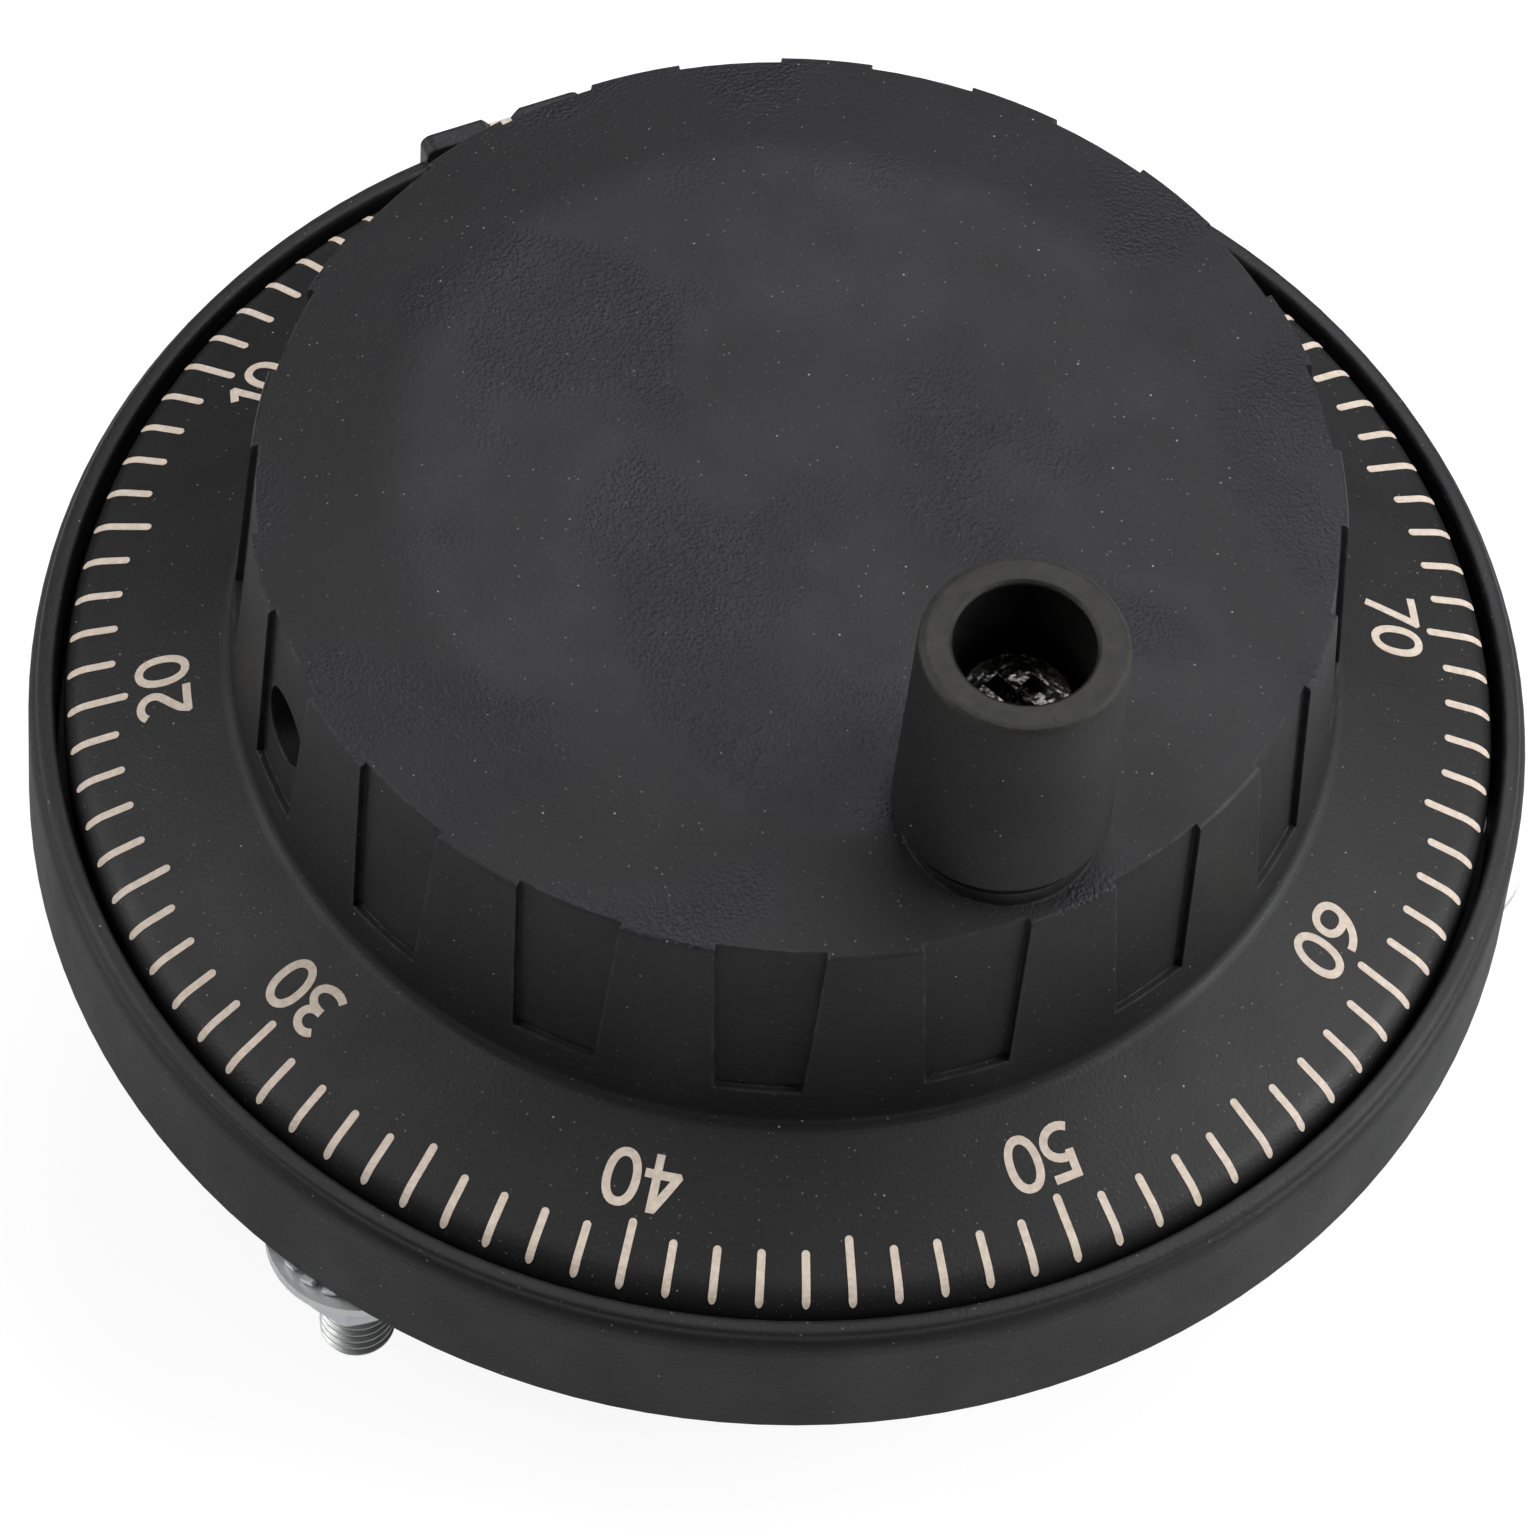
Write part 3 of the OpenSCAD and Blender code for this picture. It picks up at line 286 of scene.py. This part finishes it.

# The handle's rim is rubbed to an olive grey by fingers, and its bore is darkened with painted shade
grip_plastic, grip_tone = moulded("grip_plastic", (0.0080, 0.0081, 0.0082),
                                  (0.0105, 0.0105, 0.0105), 0.52, dust=0.8, wear_and_highlight=0.5)
grip_low, grip_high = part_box("handle_grip")
RIM_DEPTH = 0.45 * MM
BORE_R = 3.52 * MM
rim = grip_plastic.ramp(grip_plastic.height_along_z(),
                        grip_high.z - RIM_DEPTH, grip_high.z - RIM_DEPTH / 3)
olive = grip_plastic.mix(grip_plastic.ramp(grip_plastic.noise(0.8 * MM, 4), 0.35, 0.65),
                         (0.014, 0.014, 0.011), (0.024, 0.023, 0.019))
grip_tone = grip_plastic.mix(rim, grip_tone, olive)
# painted shade: the bore is coloured near black
bore_shade = grip_plastic.ramp(grip_plastic.distance_from_axis((grip_low + grip_high) / 2),
                         BORE_R - 0.03 * MM, BORE_R + 0.03 * MM, 1, 0)
grip_tone = grip_plastic.mix(bore_shade, grip_tone, (0.001, 0.001, 0.001))
# painted shade darkens the handle's foot over the gap beneath it, and the foot is made rough there too
foot_shade = grip_plastic.ramp(grip_plastic.height_along_z(),
                         grip_low.z + 0.25 * MM, grip_low.z + 0.5 * MM, 1, 0)
grip_plastic.colour(grip_plastic.mix(foot_shade, grip_tone, (0.002, 0.002, 0.002)))
grip_plastic.roughness(grip_plastic.math(
    "MAXIMUM", foot_shade, grip_plastic.ramp(grip_plastic.noise(5 * MM, 3), 0.3, 0.7, 0.47, 0.58)))

# Passivated plating is paler in the shade than bare metal
zinc = metal("zinc_plate", (0.68, 0.71, 0.73), (0.76, 0.77, 0.76), 0.38, metallic=0.55)
stud_zinc = metal("stud_zinc", (0.40, 0.42, 0.42), (0.50, 0.51, 0.50), 0.38, metallic=0.85)
blackened = metal("blackened_steel", (0.035, 0.035, 0.037), (0.16, 0.15, 0.135), 0.2)
blackened.bump(blackened.noise(0.9 * MM, 2, 0.5), 0.25 * MM)
ground = metal("ground_steel", (0.56, 0.57, 0.59), (0.62, 0.62, 0.63), 0.24, (1, 1, 12))
polished = metal("bearing_steel", (0.66, 0.67, 0.69), (0.70, 0.70, 0.71), 0.14)
laminated = metal("laminated_steel", (0.38, 0.39, 0.41), (0.44, 0.44, 0.45), 0.38)
brass = metal("turned_brass", (0.68, 0.50, 0.22), (0.74, 0.57, 0.28), 0.3, (1, 1, 10))
magnet = metal("nickel_magnet", (0.5, 0.5, 0.5), (0.55, 0.54, 0.52), 0.3)
foil = metal("disc_foil", (0.3, 0.32, 0.34), (0.36, 0.37, 0.38), 0.3)

rubber, _ = moulded("seal_rubber", (0.012, 0.012, 0.012), (0.018, 0.018, 0.018), 0.75)
component, _ = moulded("component_body", (0.015, 0.015, 0.015), (0.022, 0.022, 0.022), 0.5)

board = Shader("board_mask", (0.02, 0.12, 0.05), 0.3)
board.colour(board.mix(board.ramp(board.noise(3 * MM, 4), 0.45, 0.55),
                       (0.015, 0.10, 0.04), (0.025, 0.15, 0.06)))
board.bump(board.noise(1.2 * MM, 2), 0.01 * MM)
lens = Shader("lens_plastic", (0.03, 0.04, 0.08), 0.15)
lens.colour(lens.mix(lens.ramp(lens.noise(1 * MM), 0.3, 0.7), (0.02, 0.03, 0.07), (0.04, 0.05, 0.10)))
slits = Shader("slit_glass", (0.55, 0.65, 0.68), 0.08, Transmission_Weight=0.6)
slits.colour(slits.mix(slits.ramp(slits.noise(0.6 * MM), 0.3, 0.7),
                       (0.5, 0.62, 0.65), (0.6, 0.7, 0.72)))

paint = Shader("scale_paint", (0.63, 0.53, 0.44), 0.62)
paint.colour(paint.mix(paint.ramp(paint.noise(0.35 * MM, 3, 0.6), 0.32, 0.7),
                       (0.56, 0.46, 0.375), (0.69, 0.605, 0.51)))
paint.bump(paint.noise(0.12 * MM, 2), 0.01 * MM)

DRESS = {                                # nodes that aren't zinc plated
    "bezel_ring": ring_plastic, "dial_wheel": plastic,
    "handle_grip": grip_plastic, "grip_washer": shaded_washer_plastic,
    "rear_housing": housing_plastic, "rear_cover": housing_plastic,
    "terminal_block": block_plastic, "emitter_bracket": component,
    "light_receiver": component, "board_components": component,
    "shaft_seal": rubber, "circuit_board": board, "light_emitter": lens, "slit_plate": slits,
    "hub_screw": blackened, "handle_screw": blackened, "shaft_circlip": blackened,
    "shaft": ground, "bearing_spacer": ground, "click_magnets": magnet, "code_disc": foil,
    "click_wheel": laminated, "pole_shoes": laminated,
    "hub_insert": brass, "handle_insert": brass, "code_disc_hub": brass, "disc_clamp": brass,
    "terminal_plates": brass, "front_bearing_cage": brass, "rear_bearing_cage": brass,
    "front_bearing_outer_ring": polished, "rear_bearing_outer_ring": polished,
    "front_bearing_inner_ring": polished, "rear_bearing_inner_ring": polished,
    "front_bearing_balls": polished, "rear_bearing_balls": polished,
}
for name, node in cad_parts.items():
    node.data.materials.clear()
    node.data.materials.append(DRESS.get(name, zinc).material)


# ---------------------------------------------------------------- mesh helpers

def piece(name, bm, shader, body):
    """Adds a mesh to the scene as a piece that rides on a body."""
    mesh = bpy.data.meshes.new(name)
    bmesh.ops.recalc_face_normals(bm, faces=bm.faces)
    bm.to_mesh(mesh)
    bm.free()
    mesh.materials.append(shader.material)
    obj = bpy.data.objects.new(name, mesh)
    scene.collection.objects.link(obj)
    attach(obj, body)
    return obj


def ribbon(bm, rails, closed=False):
    """Closed solid from stations of (left top, right top, right bottom, left bottom)."""
    rings = [[bm.verts.new(p) for p in rail] for rail in rails]
    count = len(rings)
    for i in range(count if closed else count - 1):
        a, b = rings[i], rings[(i + 1) % count]
        for k in range(4):
            bm.faces.new((a[k], a[(k + 1) % 4], b[(k + 1) % 4], b[k]))
    if not closed:
        bm.faces.new(rings[0])
        bm.faces.new(reversed(rings[-1]))


# ---------------------------------------------------------------- stud threads

PITCH = 0.7                              # M4 coarse thread, mm
CREST_R, ROOT_R = 2.0, 1.57
# Share of the pitch, and the radius there
PROFILE = ((0.0, CREST_R), (0.125, CREST_R), (0.42, ROOT_R + 0.03), (0.50, ROOT_R),
           (0.62, ROOT_R), (0.70, ROOT_R + 0.03))
TURN_STEPS = 72
HEAD_STEPS = 48


def thread_r(u):
    """Radius at a share u of the pitch."""
    u %= 1.0
    knots = PROFILE + ((1.0, CREST_R),)
    for (u0, r0), (u1, r1) in zip(knots, knots[1:]):
        if u <= u1:
            return r0 + (r1 - r0) * (u - u0) / (u1 - u0)
    return CREST_R


def threaded_rod(bm, x, y, bottom, top, chamfer):
    """Closed rod with a right-hand thread, its lower end chamfered; mm."""
    turns = math.ceil((top - bottom) / PITCH) + 1
    rows = []
    for turn in range(-1, turns):
        for u, _ in PROFILE:
            row = []
            for i in range(TURN_STEPS + 1):
                z = bottom + (turn + u + i / TURN_STEPS) * PITCH
                held = min(max(z, bottom), top)
                share = (held - bottom) / PITCH - i / TURN_STEPS
                r = min(thread_r(share), CREST_R - chamfer + (held - bottom))
                a = 2 * math.pi * i / TURN_STEPS
                row.append(bm.verts.new(Vector((x + r * math.cos(a), y + r * math.sin(a), held)) * MM))
            rows.append(row)
    for a, b in zip(rows, rows[1:]):
        for i in range(TURN_STEPS):
            bm.faces.new((a[i], a[i + 1], b[i + 1], b[i]))
    for z in (bottom, top):
        ring = []
        for i in range(TURN_STEPS):
            r = min(thread_r((z - bottom) / PITCH - i / TURN_STEPS), CREST_R - chamfer + (z - bottom))
            a = 2 * math.pi * i / TURN_STEPS
            ring.append(bm.verts.new(Vector((x + r * math.cos(a), y + r * math.sin(a), z)) * MM))
        hub = bm.verts.new(Vector((x, y, z)) * MM)
        for i in range(TURN_STEPS):
            bm.faces.new((ring[i], ring[(i + 1) % TURN_STEPS], hub))


def lathe(bm, x, y, profile, steps):
    """Closed turned body from a list of (radius, height) that starts and ends on the axis; mm."""
    rings = []
    for r, z in profile:
        count = 1 if r == 0 else steps
        rings.append([bm.verts.new(Vector((x + r * math.cos(2 * math.pi * i / steps),
                                           y + r * math.sin(2 * math.pi * i / steps), z)) * MM)
                      for i in range(count)])
    for a, b in zip(rings, rings[1:]):
        for i in range(steps):
            j = (i + 1) % steps
            corners = [a[i % len(a)], a[j % len(a)], b[j % len(b)], b[i % len(b)]]
            bm.faces.new(dict.fromkeys(corners))


stud_low, stud_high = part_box("mounting_studs")
nut_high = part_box("stud_nuts")[1]
STUD_R = 36.0                            # of the circle they stand on
STUD_TIP, STUD_TOP = stud_low.z / MM, stud_high.z / MM
THREAD_TOP = nut_high.z / MM - 0.1       # the thread ends inside the nut
SHANK_END = THREAD_TOP - 0.2             # the plain shank goes on a little inside it
HEAD_R, HEAD_T = 2.3, 1.4                # head inside the ring
CHAMFER = 0.45                           # at the thread's tip
STUD_COUNT = 3
bm = bmesh.new()
for i in range(STUD_COUNT):
    a = math.radians(90 + 360 / STUD_COUNT * i)
    x, y = STUD_R * math.cos(a), STUD_R * math.sin(a)
    threaded_rod(bm, x, y, STUD_TIP, THREAD_TOP, CHAMFER)
    lathe(bm, x, y, [(0, SHANK_END), (CREST_R, SHANK_END), (CREST_R, STUD_TOP - HEAD_T),
                     (HEAD_R, STUD_TOP - HEAD_T), (HEAD_R, STUD_TOP), (0, STUD_TOP)], HEAD_STEPS)
bmesh.ops.remove_doubles(bm, verts=bm.verts, dist=1e-7)
bmesh.ops.dissolve_degenerate(bm, edges=bm.edges, dist=1e-7)
studs = piece("threaded_studs", bm, stud_zinc, "stator")
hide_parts("mounting_studs")


# ---------------------------------------------------------------- dial scale

DIAL_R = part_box("dial_wheel")[1].x / MM  # dial's outer radius, mm
EDGE_ROUND = 2.0                         # radius of its rounded edge
EDGE_Z = 7.15                            # height of the rounding's centre
SLOPE = math.radians(19.5)               # slope of its face
EDGE_R = DIAL_R - EDGE_ROUND
FACE_R = EDGE_R + EDGE_ROUND * math.sin(SLOPE)
FACE_Z = EDGE_Z + EDGE_ROUND * math.cos(SLOPE)


def face_point(r, lift):
    """Radius and height of a point `lift` mm proud of the dial's face at radius r."""
    if r <= FACE_R:
        z = FACE_Z + (FACE_R - r) * math.tan(SLOPE)
        return r + lift * math.sin(SLOPE), z + lift * math.cos(SLOPE)
    lean = math.asin(min(1.0, (r - EDGE_R) / EDGE_ROUND))
    reach = EDGE_ROUND + lift
    return EDGE_R + reach * math.sin(lean), EDGE_Z + reach * math.cos(lean)


def on_face(angle, side, r, lift):
    """Point on the dial's face: angle in radians from the index, side in mm clockwise of it."""
    radius, z = face_point(r, lift)
    turn = math.pi / 2 + angle - side / r
    return Vector((radius * math.cos(turn), radius * math.sin(turn), z)) * MM


DIVISIONS = 100
TICK_W = 0.42
TICK_OUT = 37.66                         # radius of the ticks' outer ends
TICK_IN = 35.1                           # and of their inner ends
LONG_TICK_IN = 34.46                     # for every fifth tick
PROUD, SUNK = 0.03, -0.03                # how far the paint stands out and goes in
END_STEPS, LINE_STEPS = 5, 9             # steps round a tick's end and along it


def add_tick(bm, angle, inner):
    """One round-ended stroke of the scale, from the radius `inner` outwards."""
    half = TICK_W / 2
    turns = [math.radians(8 + 82 * i / END_STEPS) for i in range(END_STEPS + 1)]
    stations = [(inner + half - half * math.cos(t), half * math.sin(t)) for t in turns]
    for i in range(1, LINE_STEPS):
        stations.append((inner + half + (TICK_OUT - inner - 2 * half) * i / LINE_STEPS, half))
    for t in reversed(turns):
        stations.append((TICK_OUT - half + half * math.cos(t), half * math.sin(t)))
    rails = []
    for r, w in stations:
        rails.append([on_face(angle, -w, r, PROUD), on_face(angle, w, r, PROUD),
                      on_face(angle, w, r, SUNK), on_face(angle, -w, r, SUNK)])
    ribbon(bm, rails)


bm = bmesh.new()
for i in range(DIVISIONS):
    add_tick(bm, 2 * math.pi * i / DIVISIONS, LONG_TICK_IN if i % 5 == 0 else TICK_IN)
piece("dial_ticks", bm, paint, "rotor")

# Figures: their width and the centre lines of their strokes in mm, with the baseline at y = 0.
# A stroke that ends in True is a closed loop.
FIGURE_H = 2.86
STROKE = 0.43


def arc(cx, cy, rx, ry, start, end, n=14):
    """Points along part of an ellipse, between two angles in degrees."""
    return [(cx + rx * math.cos(math.radians(start + (end - start) * i / n)),
             cy + ry * math.sin(math.radians(start + (end - start) * i / n))) for i in range(n + 1)]


def oval(cx, cy, rx, ry, square=2.2, n=32):
    """Points round an ellipse that is a little squarer than a true one."""
    points = []
    for i in range(n):
        t = 2 * math.pi * i / n
        c, s = math.cos(t), math.sin(t)
        points.append((cx + rx * math.copysign(abs(c) ** (2 / square), c),
                       cy + ry * math.copysign(abs(s) ** (2 / square), s)))
    return points


SIX = [(arc(1.95, 0.75, 1.66, 1.88, 96, 172, 12), False), (oval(1.07, 0.92, 0.77, 0.70), True)]
FIGURES = {
    "0": (2.08, [(oval(1.04, 1.43, 0.73, 1.22), True)]),
    "1": (1.30, [([(0.12, 2.18), (0.80, 2.64), (0.80, 0.0)], False)]),
    "2": (1.95, [(arc(0.88, 1.98, 0.68, 0.67, 146, -35) +
                  [(1.20, 1.33), (0.80, 0.93), (0.48, 0.58), (0.33, 0.20), (1.90, 0.20)], False)]),
    "3": (1.85, [(arc(0.74, 2.05, 0.64, 0.60, 142, -78) + [(0.56, 1.45)], False),
                 ([(0.56, 1.43)] + arc(0.70, 0.82, 0.90, 0.62, 78, -138), False)]),
    "4": (2.12, [([(1.46, 0.0), (1.46, FIGURE_H)], False),
                 ([(1.40, 2.70), (0.36, 0.98), (2.08, 0.98)], False)]),
    "5": (1.90, [([(1.74, 2.66), (0.55, 2.66), (0.48, 1.44)], False),
                 ([(0.50, 1.57)] + arc(0.76, 0.99, 0.91, 0.79, 102, -130), False)]),
    "6": (2.10, SIX),
    "7": (1.85, [([(0.08, 2.66), (1.66, 2.66), (0.56, 0.0)], False)]),
    "8": (2.00, [(oval(1.0, 2.08, 0.64, 0.56), True), (oval(1.0, 0.84, 0.77, 0.61), True)]),
    "9": (2.10, [([(2.10 - x, FIGURE_H - y) for x, y in line], loop) for line, loop in SIX]),
}


SHARP = 0.64                             # cosine of half the turn where a corner counts as sharp
CUT = 0.5                                # how far a sharp corner reaches, in half strokes
SPLIT = 0.01                             # mm between the two inner points of a sharp corner


def dense(line, closed, step=0.5):
    """The same line with points at most `step` apart."""
    out = []
    pairs = list(zip(line, line[1:] + line[:1] if closed else line[1:]))
    for (x0, y0), (x1, y1) in pairs:
        n = max(1, math.ceil(math.hypot(x1 - x0, y1 - y0) / step))
        out += [(x0 + (x1 - x0) * i / n, y0 + (y1 - y0) * i / n) for i in range(n)]
    return out if closed else out + [line[-1]]


def stroke_rails(line, closed, width):
    """Left and right points beside a centre line; corners are mitred, and sharp ones cut off."""
    points = [Vector(p) for p in dense(line, closed)]
    count = len(points)
    half = width / 2
    rails = []
    for i, p in enumerate(points):
        before = points[i - 1] if closed or i else None
        after = points[(i + 1) % count] if closed or i < count - 1 else None
        a = (p - before).normalized() if before is not None else (after - p).normalized()
        b = (after - p).normalized() if after is not None else a
        left_a, left_b = Vector((-a.y, a.x)), Vector((-b.y, b.x))
        n = (left_a + left_b).normalized()
        reach = half / n.dot(left_a)
        if n.dot(left_a) > SHARP:
            rails.append((p + n * reach, p - n * reach))
            continue
        side = 1 if a.x * b.y > a.y * b.x else -1             # 1 where the line turns left
        for along, left in ((a, left_a), (-b, left_b)):
            inner = p + n * reach * side - along * SPLIT
            outer = p - left * half * side + along * half * CUT
            rails.append((inner, outer) if side > 0 else (outer, inner))
    return rails


def figure_solid(strokes):
    """Union of a figure's strokes as a flat solid: x and y in mm, z from 0 to 1."""
    parts = []
    for line, closed in strokes:
        bm = bmesh.new()
        rails = [[(*left, 1), (*right, 1), (*right, 0), (*left, 0)]
                 for left, right in stroke_rails(line, closed, STROKE)]
        ribbon(bm, rails, closed)
        bmesh.ops.recalc_face_normals(bm, faces=bm.faces)
        mesh = bpy.data.meshes.new("stroke")
        bm.to_mesh(mesh)
        bm.free()
        obj = bpy.data.objects.new("stroke", mesh)
        scene.collection.objects.link(obj)
        parts.append(obj)
    first = parts[0]
    for other in parts[1:]:
        union = first.modifiers.new("union", "BOOLEAN")
        union.operation, union.solver, union.object = "UNION", "EXACT", other
    bpy.context.view_layer.update()
    shape = bpy.data.meshes.new_from_object(first.evaluated_get(bpy.context.evaluated_depsgraph_get()))
    for obj in parts:
        bpy.data.objects.remove(obj)
    return shape


FIGURE_FOOT = 31.22                      # radius of the figures' baseline
FIGURE_MID = FIGURE_FOOT + FIGURE_H / 2  # where they have their drawn width
FIGURE_GAP = 0.03
solids = {key: figure_solid(strokes) for key, (_, strokes) in FIGURES.items()}
bm = bmesh.new()
for number in range(0, DIVISIONS, 10):
    text = str(number)
    total = sum(FIGURES[c][0] for c in text) + FIGURE_GAP * (len(text) - 1)
    x = -total / 2
    angle = 2 * math.pi * number / DIVISIONS
    for c in text:
        start = len(bm.verts)
        bm.from_mesh(solids[c])
        bm.verts.ensure_lookup_table()
        for v in bm.verts[start:]:
            side, r = x + v.co.x, FIGURE_FOOT + v.co.y
            v.co = on_face(angle, side * r / FIGURE_MID, r, PROUD if v.co.z > 0.5 else SUNK)
        x += FIGURES[c][0] + FIGURE_GAP
piece("dial_figures", bm, paint, "rotor")

# ---------------------------------------------------------------- index mark

NOTCH_FLOOR = 8.9                        # mm above the flange's back face
NOTCH_HALF = 0.64                        # half its width
NOTCH_STEPS = 6
PAINT_DROP = 0.45                        # how far the paint runs down the inner face
RAGGED = 0.02                            # unevenness of its edge
INDEX_IN, INDEX_OUT = 38.52, 39.62       # faces of the index block, mm from the axis
COAT = 0.03                              # how far the paint stands out and goes in
bm = bmesh.new()
path = [(INDEX_IN, NOTCH_FLOOR - PAINT_DROP)]
path += [(INDEX_IN + (INDEX_OUT - INDEX_IN) * i / NOTCH_STEPS, NOTCH_FLOOR)
         for i in range(NOTCH_STEPS + 1)]
rails = []
for i, (y, z) in enumerate(path):
    half = NOTCH_HALF - RAGGED * (i % 2)
    if i == 0:
        top, base = (y - COAT, z), (y + COAT, z)
    elif i == 1:
        top, base = (y - COAT, z + COAT), (y + COAT, z - COAT)
    else:
        top, base = (y, z + COAT), (y, z - COAT)
    rails.append([Vector((side * half, *spot)) * MM
                  for side, spot in ((-1, top), (1, top), (1, base), (-1, base))])
ribbon(bm, rails)
piece("index_paint", bm, paint, "stator")

# ---------------------------------------------------------------- camera

# The photo's own camera, worked out from the dial's circle and its divisions
SENSOR = 36.0
LENS = 158.60
VIEW_AZIMUTH, VIEW_ELEVATION, VIEW_ROLL = (math.radians(a) for a in (-28.035, 57.080, 5.528))
VIEW_TARGET = Vector((-0.003968, -0.007038, 0.012))
VIEW_DISTANCE = 0.351585

back = Vector((math.sin(VIEW_AZIMUTH) * math.cos(VIEW_ELEVATION),
               -math.cos(VIEW_AZIMUTH) * math.cos(VIEW_ELEVATION), math.sin(VIEW_ELEVATION)))
level = Vector((math.cos(VIEW_AZIMUTH), math.sin(VIEW_AZIMUTH), 0.0))
rise = back.cross(level)
right = level * math.cos(VIEW_ROLL) + rise * math.sin(VIEW_ROLL)
up = rise * math.cos(VIEW_ROLL) - level * math.sin(VIEW_ROLL)
lens_data = bpy.data.cameras.new("camera")
lens_data.lens, lens_data.sensor_width, lens_data.sensor_fit = LENS, SENSOR, "HORIZONTAL"
lens_data.clip_start, lens_data.clip_end = 0.02, 20.0
camera = bpy.data.objects.new("camera", lens_data)
camera.matrix_world = Matrix.Translation(VIEW_TARGET + back * VIEW_DISTANCE) @ \
    Matrix((right, up, back)).transposed().to_4x4()
scene.collection.objects.link(camera)
scene.camera = camera

scene.view_settings.view_transform = "Standard"

# ---------------------------------------------------------------- floor and light

FLOOR_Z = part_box("rear_housing")[0].z - 0.02 * MM
FLOOR_SPAN = 3.0
bm = bmesh.new()
bmesh.ops.create_grid(bm, x_segments=8, y_segments=8, size=FLOOR_SPAN)
mesh = bpy.data.meshes.new("floor")
bm.to_mesh(mesh)
bm.free()
floor = bpy.data.objects.new("floor", mesh)
floor.location.z = FLOOR_Z
scene.collection.objects.link(floor)

# Pale paper, which the camera alone sees as white with the object's shadow on it
PAPER, SEEN_PAPER, GLOW = 0.66, 0.30, 0.82
floor_mat = bpy.data.materials.new("floor_paper")
floor_mat.use_nodes = True
tree = floor_mat.node_tree
tree.nodes.clear()
out = tree.nodes.new("ShaderNodeOutputMaterial")
paper = tree.nodes.new("ShaderNodeBsdfDiffuse")
paper.inputs["Color"].default_value = (PAPER, PAPER, PAPER, 1)
seen_paper = tree.nodes.new("ShaderNodeBsdfDiffuse")
seen_paper.inputs["Color"].default_value = (SEEN_PAPER, SEEN_PAPER, SEEN_PAPER, 1)
glow = tree.nodes.new("ShaderNodeEmission")
glow.inputs["Strength"].default_value = GLOW
seen = tree.nodes.new("ShaderNodeAddShader")
path = tree.nodes.new("ShaderNodeLightPath")
choose = tree.nodes.new("ShaderNodeMixShader")
for output, socket in (
        (seen_paper.outputs[0], seen.inputs[0]), (glow.outputs[0], seen.inputs[1]),
        (path.outputs["Is Camera Ray"], choose.inputs[0]), (paper.outputs[0], choose.inputs[1]),
        (seen.outputs[0], choose.inputs[2]), (choose.outputs[0], out.inputs["Surface"])):
    tree.links.new(output, socket)
mesh.materials.append(floor_mat)

world = bpy.data.worlds.new("studio")
scene.world = world
world.use_nodes = True
sky = world.node_tree.nodes["Background"]
sky.inputs["Color"].default_value = (1, 1, 1, 1)
sky.inputs["Strength"].default_value = 0.03

LAMP_DISTANCE, LAMP_SIZE = 0.9, 0.6


def softbox(name, azimuth, elevation, power, tint=(1, 1, 1)):
    """A square lamp that faces the object, placed by its direction from it."""
    a, e = math.radians(azimuth), math.radians(elevation)
    way = Vector((math.sin(a) * math.cos(e), -math.cos(a) * math.cos(e), math.sin(e)))
    lamp = bpy.data.lights.new(name, "AREA")
    lamp.shape, lamp.size, lamp.energy, lamp.color = "SQUARE", LAMP_SIZE, power, tint
    obj = bpy.data.objects.new(name, lamp)
    obj.location = way * LAMP_DISTANCE
    obj.rotation_euler = way.to_track_quat("Z", "Y").to_euler()
    scene.collection.objects.link(obj)


softbox("right_low", 62, 28, 6.9)
softbox("right_high", 62, 58, 2.2)
softbox("left_low", -118, 28, 3.7)
softbox("left_high", -118, 58, 2.1)
softbox("back_high", 138, 58, 3.8, (0.95, 0.95, 1))
